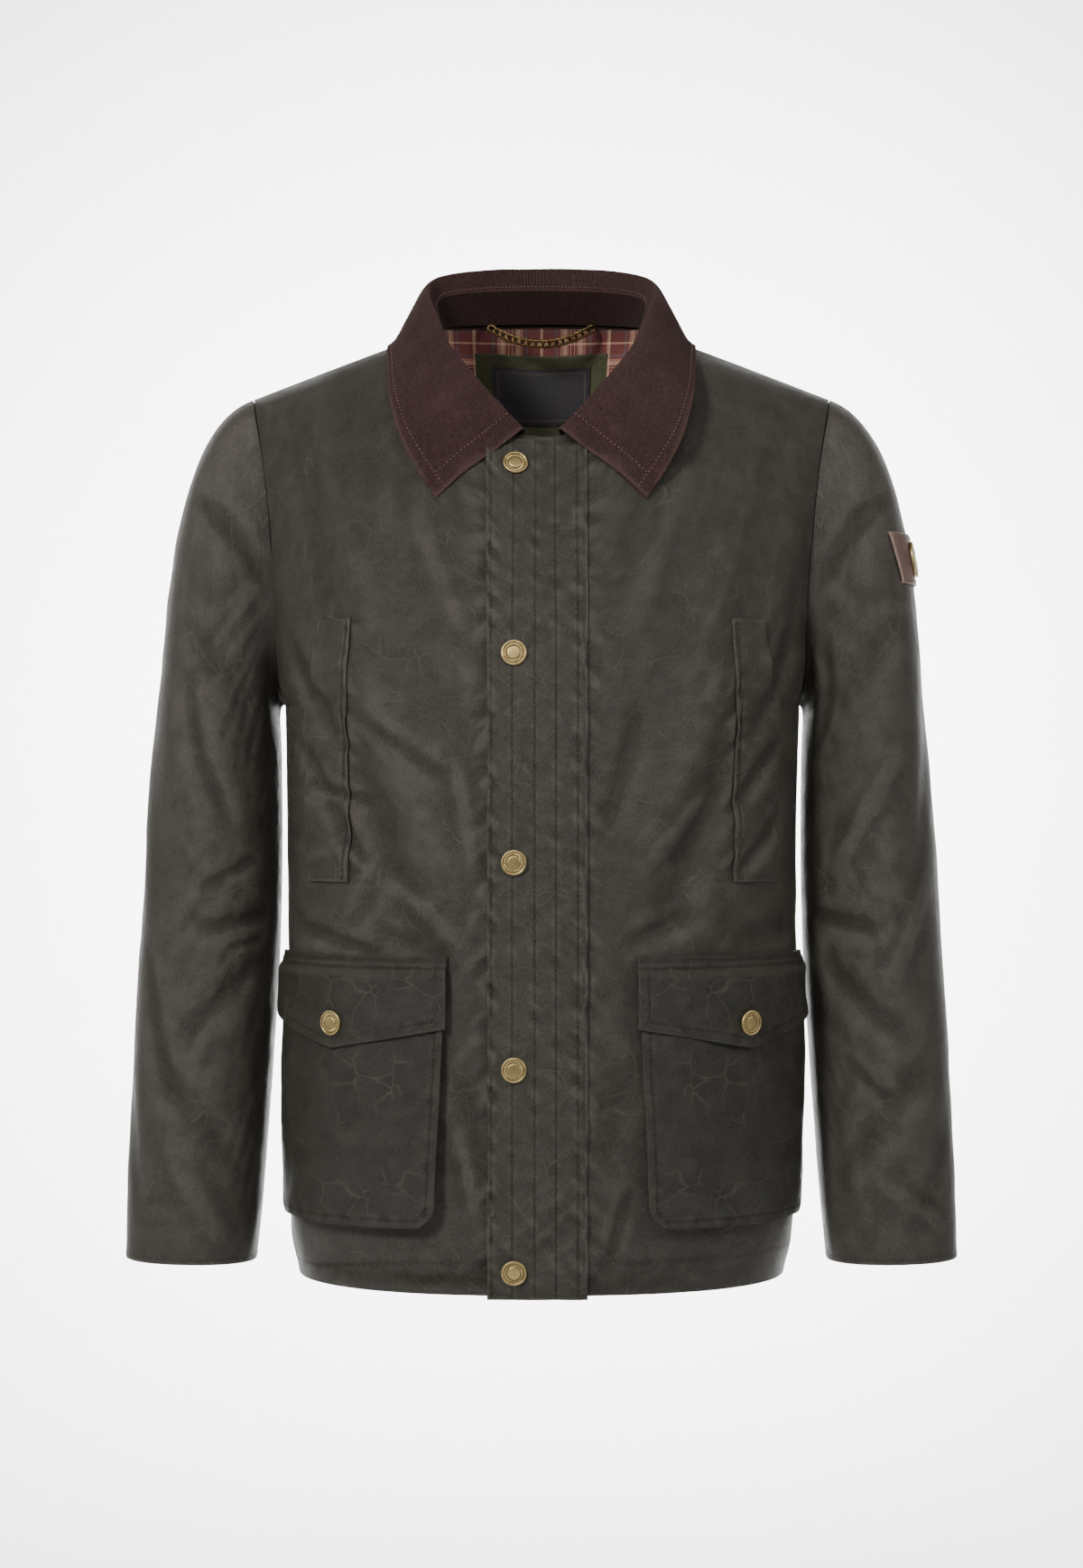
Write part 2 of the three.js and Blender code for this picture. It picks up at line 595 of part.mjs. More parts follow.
// The armhole seam, by its turn round the sleeve
const armholeSeam = [true, false].map((isFront) => {
  const steps = 90;
  const points = [];
  for (let i = 0; i <= steps; i += 1) {
    const share = 1 - i / steps;
    const level = ARMPIT + ARMHOLE_DEPTH * share;
    const { point, normal } = bodyCloth(panelEdge(level, isFront), level, isFront);
    points.push({ point, normal });
  }
  const lengths = [0];
  for (let i = 1; i <= steps; i += 1) lengths.push(lengths[i - 1] + points[i].point.distanceTo(points[i - 1].point));
  return (share) => {
    const target = share * lengths[steps];
    let i = 1;
    while (i < steps && lengths[i] < target) i += 1;
    const k = clamp((target - lengths[i - 1]) / (lengths[i] - lengths[i - 1]), 0, 1);
    return {
      point: points[i - 1].point.clone().lerp(points[i].point, k),
      normal: points[i - 1].normal.clone().lerp(points[i].normal, k).normalize(),
    };
  };
});

function armholeAt(turn) {
  const t = ((turn % 1) + 1) % 1;
  return t <= 0.5 ? armholeSeam[0](t * 2) : armholeSeam[1]((1 - t) * 2);
}

// Which way the sleeve leaves the seam: in the panel's plane and square to the seam
function seamOutward(turn) {
  const along = armholeAt(turn + 0.01).point.sub(armholeAt(turn - 0.01).point);
  const out = along.cross(armholeAt(turn).normal).normalize();
  return out.x < 0 ? out.negate() : out;
}

const sleeveOuter = column(SLEEVE, 'level', (row) => row.outer);
const sleeveInner = column(SLEEVE, 'level', (row) => row.inner);
const sleeveMiddleY = column(SLEEVE, 'level', (row) => row.middleY);
const sleeveHalfDepth = column(SLEEVE, 'level', (row) => row.halfDepth);
const CAP_ROUND = [{ ...CAP.at(-2), turn: -0.125 }, ...CAP, { ...CAP[1], turn: 1.125 }];
const capOut = column(CAP_ROUND, 'turn', (row) => row.out);
const capAhead = column(CAP_ROUND, 'turn', (row) => row.ahead);
const capUp = column(CAP_ROUND, 'turn', (row) => row.up);
const capLand = column(CAP_ROUND, 'turn', (row) => row.land);

function sleeveRing(turn, level) {
  const angle = 2 * Math.PI * turn;
  const power = 2 / SLEEVE_SQUARENESS;
  const c = Math.cos(angle);
  const s = Math.sin(angle);
  const middle = (sleeveOuter(level) + sleeveInner(level)) / 2;
  const half = (sleeveOuter(level) - sleeveInner(level)) / 2;
  const across = half * Math.sign(c) * Math.abs(c) ** power;
  const ahead = sleeveHalfDepth(level) * Math.sign(s) * Math.abs(s) ** power;
  return vector(middle + across, sleeveMiddleY(level) - ahead, level + SLEEVE_TILT * across);
}

// The sleeve surface. Down runs from 0 at the armhole to 1 at the bicep, then 1 more to the cuff.
const SLEEVE_GAP = 0.8;
const CUFF = SLEEVE[0].level;
const sleeveLevel = (down) => lerp(BICEP, CUFF, down - 1);

function sleeveSurface(turn, down) {
  const t = ((turn % 1) + 1) % 1;
  if (down >= 1) return sleeveRing(t, sleeveLevel(down));
  const start = moved(armholeAt(t).point, seamOutward(t), SLEEVE_GAP);
  const leave = vector(capOut(t), -capAhead(t), capUp(t));
  const drift = sleeveRing(t, BICEP - 10).sub(sleeveRing(t, BICEP)).multiplyScalar(capLand(t) / 10);
  return cubic(start, sleeveRing(t, BICEP), leave, drift, down);
}

function sleeveCloth(turn, down, lift = 0) {
  const safe = clamp(down, 0.01, 1.999);
  const normal = normalOf(sleeveSurface, turn, safe, { a: 0.004, b: 0.004 }, 1);
  const point = sleeveSurface(turn, down);
  const fade = smooth(0.03, 0.25, down) * (1 - smooth(1.93, 1.99, down));
  const t = ((turn % 1) + 1) % 1;
  const inside = 1 - 0.85 * smooth(0.12, 0.02, Math.abs(t - 0.5));
  const round = [t - 1, t, t + 1].map((a) => foldHeight(SLEEVE_FOLDS, a, point.z, SLEEVE_GIRTH));
  const fold = (round[0] + round[1] + round[2]) * fade * inside;
  return { point: moved(point, normal, fold + lift), normal };
}

const SLEEVE_TURNS = Array.from({ length: 16 }, (_, j) => j / 16);
const SLEEVE_DOWNS = [0, 0.06, 0.14, 0.24, 0.36, 0.5, 0.66, 0.83, 1,
  ...Array.from({ length: 12 }, (_, i) => 1 + (i + 1) / 12)];

function sleeve(side) {
  const flip = side > 0 ? (p) => p : mirrored;
  return wallGeometry(SLEEVE_DOWNS.map((down) => SLEEVE_TURNS.map((turn) => {
    const { point, normal } = sleeveCloth(turn, down);
    const inwards = down === 0 ? armholeAt(turn).normal : normal;
    return { outer: flip(point), inner: flip(moved(point, inwards, -SHELL)) };
  })), true);
}

// The collar. Across runs from 0 at the neck seam to 1 at the crest and 2 at the leaf's edge.
const collarColumns = Object.fromEntries(['x', 'y', 'z'].map((axis, k) => [axis, {
  crest: column(COLLAR, 'q', (row) => row.crest[k]),
  edge: column(COLLAR, 'q', (row) => row.edge[k]),
}]));
const collarTurn = column(COLLAR, 'q', (row) => row.turn);
const collarStand = column(COLLAR, 'q', (row) => row.stand);
const collarPoint = (name, q) => vector(...['x', 'y', 'z'].map((axis) => collarColumns[axis][name](q)));

// Points of the body round the neck, for laying the leaf on
const neckCloud = [];
for (const isFront of [true, false]) {
  for (let level = TOP; level > ARMPIT + 40; level -= 4) {
    for (let distance = 0; distance <= 200; distance += 4) neckCloud.push(bodyCloth(distance, level, isFront));
  }
}

// Moves a point out until it clears the body by a given lift
function laidOnBody(point, lift) {
  let nearest = neckCloud[0];
  let best = Infinity;
  for (const candidate of neckCloud) {
    const distance = candidate.point.distanceToSquared(point);
    if (distance < best) [best, nearest] = [distance, candidate];
  }
  const height = point.clone().sub(nearest.point).dot(nearest.normal);
  return height < lift ? moved(point, nearest.normal, lift - height) : point.clone();
}

function collarFrame(q) {
  const seam = neckSeam(collarTurn(q));
  const crest = collarPoint('crest', q);
  const outwards = collarPoint('edge', q).sub(crest);
  const along = collarPoint('crest', Math.min(q + 0.01, 1)).sub(collarPoint('crest', Math.max(q - 0.01, 0)));
  if (q > 0.99) along.set(-1, 0, 0);
  outwards.z = 0;
  outwards.addScaledVector(along, -outwards.dot(along) / along.lengthSq()).normalize();
  const foot = moved(seam, outwards, -CORDUROY - STAND_GAP);
  foot.z += STAND_GAP;
  return { foot, crest, outwards, edge: laidOnBody(collarPoint('edge', q), LEAF_LIFT) };
}

function collarSurface(q, across) {
  const { foot, crest, outwards, edge } = collarFrame(q);
  const rollPull = outwards.clone().multiplyScalar(ROLL * 2.4);
  if (across <= 1) {
    const up = crest.clone().addScaledVector(outwards, -ROLL).sub(foot);
    return cubic(foot, crest, up.multiplyScalar(0.9), rollPull, across);
  }
  const fall = edge.clone().sub(crest);
  const middle = cubic(crest, edge, outwards.clone().multiplyScalar(ROLL * 4), fall.multiplyScalar(0.9), across - 1);
  return across > 1.25 ? laidOnBody(middle, LEAF_LIFT) : middle;
}

function collarWall(stations, acrossOf, from, thick) {
  return wallGeometry(stations.map(({ q, side }) => acrossOf(q).map((across) => {
    const step = 0.015;
    const alongQ = collarSurface(Math.min(q + step, 1), across).sub(collarSurface(Math.max(q - step, 0), across));
    if (q > 0.985) alongQ.set(-1, 0, 0);
    const low = Math.max(across - step, 0);
    const high = Math.min(across + step, 2);
    const alongAcross = collarSurface(q, high).sub(collarSurface(q, low));
    const normal = alongAcross.cross(alongQ).normalize();
    const outer = moved(collarSurface(q, across), normal, from);
    const inner = moved(outer, normal, -thick);
    return side < 0 ? { outer: mirrored(outer), inner: mirrored(inner) } : { outer, inner };
  })));
}

// Stations from one front end round the back of the neck to the other
function bothHalves(low, count) {
  const half = Array.from({ length: count + 1 }, (_, i) => lerp(low, 1, i / count));
  const right = half.map((q) => ({ q, side: -1 }));
  const left = half.slice(0, -1).reverse().map((q) => ({ q, side: 1 }));
  return [...right, ...left];
}

function collarLeaf() {
  const shares = [0, 0.35, 0.65, 0.85, 1];
  const fall = [1.08, 1.18, 1.32, 1.5, 1.7, 1.86, 2];
  const acrossOf = (q) => [...shares.map((k) => lerp(collarStand(q) + 0.02, 1, k)), ...fall];
  return collarWall(bothHalves(0, 15), acrossOf, 0, CORDUROY);
}

function collarStandBand() {
  const acrossOf = (q) => [0, 0.5, 1].map((k) => k * (collarStand(q) - 0.02));
  return collarWall(bothHalves(0.16, 12), acrossOf, 0, CORDUROY);
}

// A patch on the inside of the lining at the back of the neck
function neckPatch({ halfWidth, heights, gap }, under) {
  const distances = [-1, -0.56, 0, 0.56, 1].map((k) => k * halfWidth);
  const lift = -(SHELL + SEAM + LINING + under + gap + 1);
  return wallGeometry(heights.map((height) => distances.map((distance) => {
    const level = levelAt(distance, height, false);
    return { outer: onBackGrid(distance, level, lift + 1), inner: onBackGrid(distance, level, lift) };
  })));
}

// A point on the flat facets of the back, so that a small piece lies close on them
function onBackGrid(distance, level, lift) {
  const columns = backDistances(BACK_WIDTH - SEAM / 2);
  const j = columns.findLastIndex((value, k) => value <= distance && k < columns.length - 1);
  const i = BODY_LEVELS.findLastIndex((value, k) => value <= level && k < BODY_LEVELS.length - 1);
  const corner = (row, line) => {
    const across = columnAt(columns[line], BODY_LEVELS[row], false);
    return bodyCloth(across, BODY_LEVELS[row], false, lift).point;
  };
  const u = (distance - columns[j]) / (columns[j + 1] - columns[j]);
  const v = (level - BODY_LEVELS[i]) / (BODY_LEVELS[i + 1] - BODY_LEVELS[i]);
  const [low, far] = [corner(i, j), corner(i + 1, j + 1)];
  const turn = u >= v ? corner(i, j + 1) : corner(i + 1, j);
  const [first, second] = u >= v ? [u, v] : [v, u];
  return low.clone().addScaledVector(turn.clone().sub(low), first).addScaledVector(far.sub(turn), second);
}

// Hanger chain: a twisted flat band that sags between its two ends in one plane
function hangerChain() {
  const plane = neckSeam(1 - Math.asin(CHAIN.halfSpan / NECK.halfWidth) / Math.PI).y
    - CORDUROY - STAND_GAP - CHAIN.clear - CHAIN.wide;
  const steps = 52;
  const sides = 8;
  const position = [];
  for (let i = 0; i <= steps; i += 1) {
    const x = lerp(-CHAIN.halfSpan, CHAIN.halfSpan, i / steps);
    const share = x / CHAIN.halfSpan;
    const slope = (2 * CHAIN.sag * share) / CHAIN.halfSpan;
    const along = vector(1, 0, slope).normalize();
    const up = vector(-along.z, 0, along.x);
    const twist = (Math.PI * (x + CHAIN.halfSpan)) / (2 * CHAIN.pitch);
    for (let j = 0; j < sides; j += 1) {
      const angle = (2 * Math.PI * j) / sides;
      const a = CHAIN.wide * Math.cos(angle);
      const b = CHAIN.thick * Math.sin(angle);
      const high = a * Math.cos(twist) - b * Math.sin(twist);
      const ahead = a * Math.sin(twist) + b * Math.cos(twist);
      const centre = vector(x, plane, CHAIN.height - CHAIN.sag * (1 - share * share));
      const p = moved(centre, up, high);
      position.push(p.x, p.y - ahead, p.z);
    }
  }
  const index = [];
  for (let i = 0; i < steps; i += 1) {
    for (let j = 0; j < sides; j += 1) {
      const [a, b] = [i * sides + j, i * sides + ((j + 1) % sides)];
      index.push(a, b, b + sides, a, b + sides, a + sides);
    }
  }
  for (let j = 1; j < sides - 1; j += 1) {
    index.push(0, j + 1, j);
    index.push(steps * sides, steps * sides + j, steps * sides + j + 1);
  }
  return facingOut(position, index);
}

// Sleeve badge: a leather patch on the outside of the upper sleeve, and a plain oval plaque
function downAtLevel(turn, level) {
  let low = 0;
  let high = 1;
  for (let i = 0; i < 30; i += 1) {
    const middle = (low + high) / 2;
    if (sleeveSurface(turn, middle).z > level) low = middle;
    else high = middle;
  }
  return low;
}

function badgePatch() {
  const levels = [0, 0.33, 0.67, 1].map((k) => lerp(BADGE.bottom, BADGE.top, k));
  const turns = [0, 0.25, 0.5, 0.75, 1].map((k) => lerp(BADGE.from, BADGE.to, k));
  return wallGeometry(levels.map((level) => turns.map((turn) => {
    const { point, normal } = sleeveCloth(turn, downAtLevel(turn, level), BADGE.gap);
    return { outer: moved(point, normal, BADGE.thick), inner: point };
  })));
}

const group = new THREE.Group();
const material = (colour, roughness, metalness = 0) => new THREE.MeshStandardMaterial({ color: colour, roughness, metalness });
const wax = material(COLOURS.wax, 0.55);
const corduroy = material(COLOURS.corduroy, 0.95);
const check = material(COLOURS.check, 0.9);
const brass = material(COLOURS.brass, 0.35, 0.9);
const leather = material(COLOURS.leather, 0.6);

function add(name, geometry, finish) {
  const mesh = new THREE.Mesh(geometry, finish);
  mesh.name = name;
  group.add(mesh);
  return mesh;
}

// Stands a flat-backed piece on a point of the cloth, facing out along its normal
function seat(mesh, { point, normal }, gap) {
  mesh.quaternion.setFromUnitVectors(vector(0, 1, 0), normal);
  mesh.position.copy(moved(point, normal, gap));
}

for (const [word, side] of [['left', 1], ['right', -1]]) {
  add(`front_${word}`, frontPanel(side), wax);
  add(`sleeve_${word}`, sleeve(side), wax);
  add(`chest_welt_${word}`, welt(side), wax);
  add(`pocket_front_${word}`, pocketFront(side), wax);
  add(`pocket_gusset_${word}`, pocketGusset(side), wax);
  add(`pocket_flap_${word}`, pocketFlap(side), wax);
  const snap = add(`pocket_snap_${word}`, snapCap(), brass);
  seat(snap, flapPoint(side, FLAP.point, FLAP.pointDrop + 18, PLY), 0.5);
}
add('back', backPanel(), wax);
add('back_lining', backLining(), check);
add('placket', placket(), wax);
SNAP_LEVELS.forEach((level, i) => {
  const snap = add(`placket_snap_${i + 1}`, snapCap(), brass);
  seat(snap, bodyCloth(SNAP_LINE, level > ARMPIT ? levelAt(SNAP_LINE, level, true) : level, true, SEAM + PLY), 0.5);
});
add('collar_leaf', collarLeaf(), corduroy);
add('collar_stand', collarStandBand(), corduroy);
add('neck_patch', neckPatch(PATCH, 0), material(COLOURS.patch, 0.7));
add('neck_label', neckPatch(LABEL, PATCH.gap + 1), material(COLOURS.label, 0.8));
add('hanger_chain', hangerChain(), brass);
add('sleeve_badge', badgePatch(), leather);

const plaqueShape = new THREE.Shape();
plaqueShape.absellipse(0, 0, PLAQUE.halfWide, PLAQUE.halfTall, 0, 2 * Math.PI);
const plaqueGeometry = new THREE.ExtrudeGeometry(plaqueShape, {
  depth: PLAQUE.thick, bevelEnabled: false, curveSegments: 10,
});
const plaque = add('badge_plaque', plaqueGeometry, brass);
const plaqueSeat = sleeveCloth(PLAQUE.turn, downAtLevel(PLAQUE.turn, PLAQUE.level), BADGE.gap + BADGE.thick);
const plaqueFrame = new THREE.Matrix4();
const plaqueUp = vector(0, 0, 1).addScaledVector(plaqueSeat.normal, -plaqueSeat.normal.z).normalize();
plaqueFrame.makeBasis(plaqueUp.clone().cross(plaqueSeat.normal), plaqueUp, plaqueSeat.normal);
plaque.quaternion.setFromRotationMatrix(plaqueFrame);
plaque.position.copy(moved(plaqueSeat.point, plaqueSeat.normal, 0.9));

export default group;
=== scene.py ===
# %% [markdown]
# # A waxed cotton field jacket, filled out as if it were worn
#
# The real jacket is a dense cotton cloth soaked in wax, cut as two fronts, a one-piece back and
# two sleeves, with a corduroy collar, brass snaps and bellows pockets. Waxed cloth is stiff: it
# holds crisp creases, puckers along every line of stitching and shows paler rubs on its ridges.
# Each piece is modelled here as the maker would cut it. A smooth surface is worked out in cloth
# coordinates, folds and creases are added along its normal, and everything that is sewn on
# follows the same cloth.

# %% Load the fixed frame
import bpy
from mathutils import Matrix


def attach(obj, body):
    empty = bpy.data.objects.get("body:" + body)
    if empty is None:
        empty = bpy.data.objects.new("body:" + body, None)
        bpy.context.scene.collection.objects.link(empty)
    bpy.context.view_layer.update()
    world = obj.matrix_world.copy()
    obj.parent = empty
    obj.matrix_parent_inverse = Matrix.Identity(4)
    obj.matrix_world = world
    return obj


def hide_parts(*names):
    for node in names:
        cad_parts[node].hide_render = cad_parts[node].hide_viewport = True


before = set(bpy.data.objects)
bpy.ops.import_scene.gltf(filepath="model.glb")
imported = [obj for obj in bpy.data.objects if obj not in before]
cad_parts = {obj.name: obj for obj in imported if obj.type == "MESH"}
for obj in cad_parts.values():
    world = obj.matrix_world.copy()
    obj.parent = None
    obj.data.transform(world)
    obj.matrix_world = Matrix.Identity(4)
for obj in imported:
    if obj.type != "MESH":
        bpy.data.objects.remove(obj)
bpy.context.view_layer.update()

# %% Libraries
import math
import bpy
import numpy as np
from mathutils import Vector
from mathutils.kdtree import KDTree

MM = 0.001
scene = bpy.context.scene
rng = np.random.default_rng(7)
print("Blender", bpy.app.version_string)

# %% [markdown]
# ## The camera
#
# The photograph looks straight at the front from 2.2 m, level with the middle of the jacket.
# At that distance the far side of the neck still shows well above the front. A long lens keeps
# the sides from spreading. The long side of the picture is 1738 pixels of 0.7 mm at the
# shoulders' plane.

# %% Camera
DISTANCE = 2.2
EYE_LEVEL = -0.353
PIXEL = 0.7 * MM
camera_data = bpy.data.cameras.new("camera")
camera_data.sensor_width = 36
camera_data.lens = 36 * DISTANCE / (1738 * PIXEL)
camera = bpy.data.objects.new("camera", camera_data)
camera.location = (0, -DISTANCE, EYE_LEVEL)
camera.rotation_euler = (math.pi / 2, 0, 0)
scene.collection.objects.link(camera)
scene.camera = camera
print("lens", round(camera_data.lens, 2), "mm")

# %% [markdown]
# ## Small maths
#
# Tables of measurements are read on smooth curves, so a few rows describe a long edge. A cubic
# with a pull at each end joins two places in space the way cloth does: it leaves one in a given
# direction and arrives at the other in a given direction.

# %% Curves through tables
def smooth(low, high, value):
    k = np.clip((value - low) / (high - low), 0, 1)
    return k * k * (3 - 2 * k)


def lerp(a, b, k):
    return a + (b - a) * k


def unit(v):
    return v / np.maximum(np.linalg.norm(v, axis=-1, keepdims=True), 1e-12)


def curve(xs, ys):
    xs, ys = np.array(xs, float), np.array(ys, float)
    last = len(xs) - 1
    before = np.maximum(np.arange(last + 1) - 1, 0)
    after = np.minimum(np.arange(last + 1) + 1, last)
    slope = (ys[after] - ys[before]) / (xs[after] - xs[before])

    def at(x):
        x = np.asarray(x, float)
        i = np.clip(np.searchsorted(xs, x), 1, last)
        span = xs[i] - xs[i - 1]
        k = np.clip((x - xs[i - 1]) / span, 0, 1)
        k2, k3 = k * k, k * k * k
        ends = ys[i - 1] * (2 * k3 - 3 * k2 + 1) + ys[i] * (3 * k2 - 2 * k3)
        return ends + span * (slope[i - 1] * (k3 - 2 * k2 + k) + slope[i] * (k3 - k2))

    return at


def table_curves(table):
    return [curve(table[:, 0], column) for column in table.T[1:]]


def cubic(a, b, pull_a, pull_b, k):
    k = np.asarray(k, float)[..., None]
    k2, k3 = k * k, k * k * k
    ends = a * (2 * k3 - 3 * k2 + 1) + b * (3 * k2 - 2 * k3)
    return ends + pull_a * (k3 - 2 * k2 + k) + pull_b * (k3 - k2)


def vectors(x, y, z):
    return np.stack(np.broadcast_arrays(x, y, z), -1).astype(float)


def run_along(points):
    steps = np.linalg.norm(np.diff(points, axis=0), axis=-1)
    return np.concatenate([[0], np.cumsum(steps)])


def read_along(run, data, at):
    return np.stack([np.interp(at, run, data[:, k]) for k in range(3)], -1)


# %% Soft random relief of cloth
def cloth_noise(u, v, size, seed):
    lattice = np.random.default_rng(seed).uniform(-1, 1, (97, 97))
    x, y = np.broadcast_arrays(np.asarray(u, float) / size, np.asarray(v, float) / size)
    i, j = np.floor(x).astype(int), np.floor(y).astype(int)
    fx, fy = x - i, y - j
    fx, fy = fx * fx * (3 - 2 * fx), fy * fy * (3 - 2 * fy)
    corner = lambda a, b: lattice[(i + a) % 97, (j + b) % 97]
    low = lerp(corner(0, 0), corner(1, 0), fx)
    return lerp(low, lerp(corner(0, 1), corner(1, 1), fx), fy)


def fold_height(folds, across, along, scale=1.0):
    height = np.zeros(np.broadcast(across, along).shape)
    for ax, ay, bx, by, width, depth in folds:
        dx, dy = (bx - ax) * scale, by - ay
        length = math.hypot(dx, dy)
        px, py = across * scale - ax * scale, along - ay
        share = (px * dx + py * dy) / length ** 2
        off = (px * dy - py * dx) / length
        ends = smooth(-0.12, 0.3, share) * (1 - smooth(0.7, 1.12, share))
        height = height + depth * ends * np.exp(-((off / width) ** 2))
    return height


# %% [markdown]
# ## The body's surface
#
# A jacket's body hangs as a soft rounded box. Below the armpit it is a stack of rings. Above it
# every thread of the cloth climbs from the armpit's ring to the neck seam or the shoulder seam.
# A point is named by its distance round the cloth from the centre line and by its level, so
# pockets and plackets can be laid out as on a paper pattern.

# %% Sizes of the body
HEM, ARMPIT, DEPTH = -727.0, -293.0, 239.0
TOP = ARMPIT + DEPTH
SHELL, SEAM, PLY = 1.4, 0.3, 1.5
NECK_CLOTH, SPREAD, SQUARE = 82.0, 95.0, 2.35
NECK_POINT, SHOULDER_TIP = np.array([78.0, 0, 0]), np.array([224.0, 8, -54])
SHOULDER_CROWN = 0.5
# level, half the width, depth in front, depth behind
RINGS = np.array([
    (HEM, 187, 127, 119), (-702, 192, 131, 121), (-676, 194, 133.5, 121.5), (-600, 195, 136, 121),
    (-467, 196.5, 138, 117), (-380, 197.5, 140, 121), (ARMPIT, 198.5, 140, 128)])
# how the cloth leaves the top ring and arrives at the neck, near it, and at the shoulder's tip
FRONT_RISE = dict(y=0, y_end=(0.4, 0.92, 0.97), z_end=(0.9, 0.42, 0.25), reach=(200, 210, 235))
BACK_RISE = dict(y=22, y_end=(-0.75, -0.9, -0.95), z_end=(0.6, 0.4, 0.25), reach=(255, 250, 235))
# share of the height, share of the front's width, share of the back's width
ARMHOLE = np.array([
    (0, 1, 1), (0.05, 0.925, 0.935), (0.13, 0.872, 0.895), (0.25, 0.845, 0.87),
    (0.4, 0.865, 0.875), (0.6, 0.918, 0.915), (0.8, 0.967, 0.965), (1, 1, 1)])

# %% Rings, and how far round them a thread lies
ring_width, ring_front, ring_back = table_curves(RINGS)


def ring_point(angle, level):
    across = np.maximum(np.sin(angle), 0) ** (2 / SQUARE)
    along = np.abs(np.cos(angle)) ** (2 / SQUARE)
    y = np.where(np.cos(angle) > 0, -ring_front(level) * along, ring_back(level) * along)
    return vectors(ring_width(level) * across, y, level)


ring_levels = np.linspace(HEM - 8, ARMPIT, 443)
ring_angles = np.linspace(0, np.pi, 161)
ring_grid = ring_point(ring_angles[None, :], ring_levels[:, None])
ring_steps = np.linalg.norm(np.diff(ring_grid, axis=1), axis=-1)
ring_lengths = np.concatenate([np.zeros((443, 1)), np.cumsum(ring_steps, 1)], 1)
ring_total, ring_side = ring_lengths[:, -1], ring_lengths[:, 80] + 10
ring_shares = np.linspace(0, 1, 481)
ring_inverse = np.array([np.interp(ring_shares * row[-1], row, ring_angles) for row in ring_lengths])
FRONT_WIDTH = ring_side[-1]
BACK_WIDTH = ring_total[-1] - FRONT_WIDTH


def ring_at(share, level):
    row = np.clip((level - ring_levels[0]) / (ring_levels[1] - ring_levels[0]), 0, 441.999)
    col = np.clip(share * 480, 0, 479.999)
    i, j = row.astype(int), col.astype(int)
    low = lerp(ring_inverse[i, j], ring_inverse[i, j + 1], col - j)
    high = lerp(ring_inverse[i + 1, j], ring_inverse[i + 1, j + 1], col - j)
    return ring_point(lerp(low, high, row - i), level)


print("panel widths", round(FRONT_WIDTH, 1), round(BACK_WIDTH, 1))


# %% Neck seam, shoulder seam and the whole body surface
def neck_seam(turn):
    c = np.cos(np.pi * turn)
    y = np.where(c > 0, -80 * c, -62 * c)
    return vectors(78 * np.sin(np.pi * turn), y, np.where(c > 0, -93 * c, -12 * c))


def top_edge(away, width, front):
    share = np.clip(away / NECK_CLOTH, 0, 1)
    turn = lerp(np.arcsin(share), share * np.pi / 2, share * share) / np.pi
    neck = neck_seam(turn if front else 1 - turn)
    k = np.clip((away - NECK_CLOTH) / (width - NECK_CLOTH), 0, 1)[..., None]
    shoulder = lerp(NECK_POINT, SHOULDER_TIP, k)
    shoulder[..., 2] += SHOULDER_CROWN * np.sin(np.pi * k[..., 0])
    return np.where((away <= NECK_CLOTH)[..., None], neck, shoulder)


def three(values, share):
    low = lerp(values[0], values[1], smooth(0, 0.3, share))
    return np.where(share < 0.3, low, lerp(values[1], values[2], smooth(0.3, 1, share)))


def ruled_surface(distance, level, front):
    away, low = np.abs(distance), np.minimum(level, ARMPIT)
    share = away / np.interp(low, ring_levels, ring_total)
    start = ring_at(share if front else 1 - share, low)
    width, rise = (FRONT_WIDTH, FRONT_RISE) if front else (BACK_WIDTH, BACK_RISE)
    part = away / width
    leave = vectors(SPREAD * part ** 3, rise["y"] * (1 - part ** 2), DEPTH)
    reach = three(rise["reach"], part)
    arrive = vectors(0 * part, three(rise["y_end"], part) * reach, three(rise["z_end"], part) * reach)
    raised = cubic(start, top_edge(away, width, front), leave, arrive, (level - ARMPIT) / DEPTH)
    point = np.where((level > ARMPIT)[..., None], raised, start)
    point[..., 0] *= np.where(distance < 0, -1, 1)
    return point


def body_surface(distance, level, front):
    # the mean of near columns, so that no hard line runs down from the neck point
    distance, level = np.broadcast_arrays(np.asarray(distance, float), np.asarray(level, float))
    point = ruled_surface(distance, level, front)
    near_neck = np.exp(-(((np.abs(distance) - NECK_CLOTH) / 50) ** 2))
    reach = 44 * near_neck * smooth(TOP - 3, TOP - 60, level) * smooth(ARMPIT, ARMPIT + 45, level)
    near = reach > 0.5
    if near.any():
        d, at, r = distance[near], level[near], reach[near]
        offsets = np.linspace(-0.95, 0.95, 17)
        shares = np.cos(offsets * np.pi / 2)
        shares = shares / shares.sum()
        columns = (share * ruled_surface(d + k * r, at, front) for k, share in zip(offsets, shares))
        point[near] = sum(columns)
    return point


def normal_of(surface, a, b, step, facing):
    along_a = surface(a + step, b) - surface(a - step, b)
    along_b = surface(a, b + step) - surface(a, b - step)
    return unit(np.cross(along_a, along_b) * facing)


# %% [markdown]
# ## Folds, creases and rubs of the body
#
# The largest folds start where the cloth is held: at the armpit, at the welts and above the
# pockets. The first tables hold those, the same on both sides. The finer ones differ from
# side to side, as they do on the real jacket. Everything fades out towards a seam, where two
# layers of turned cloth keep the edge straight.

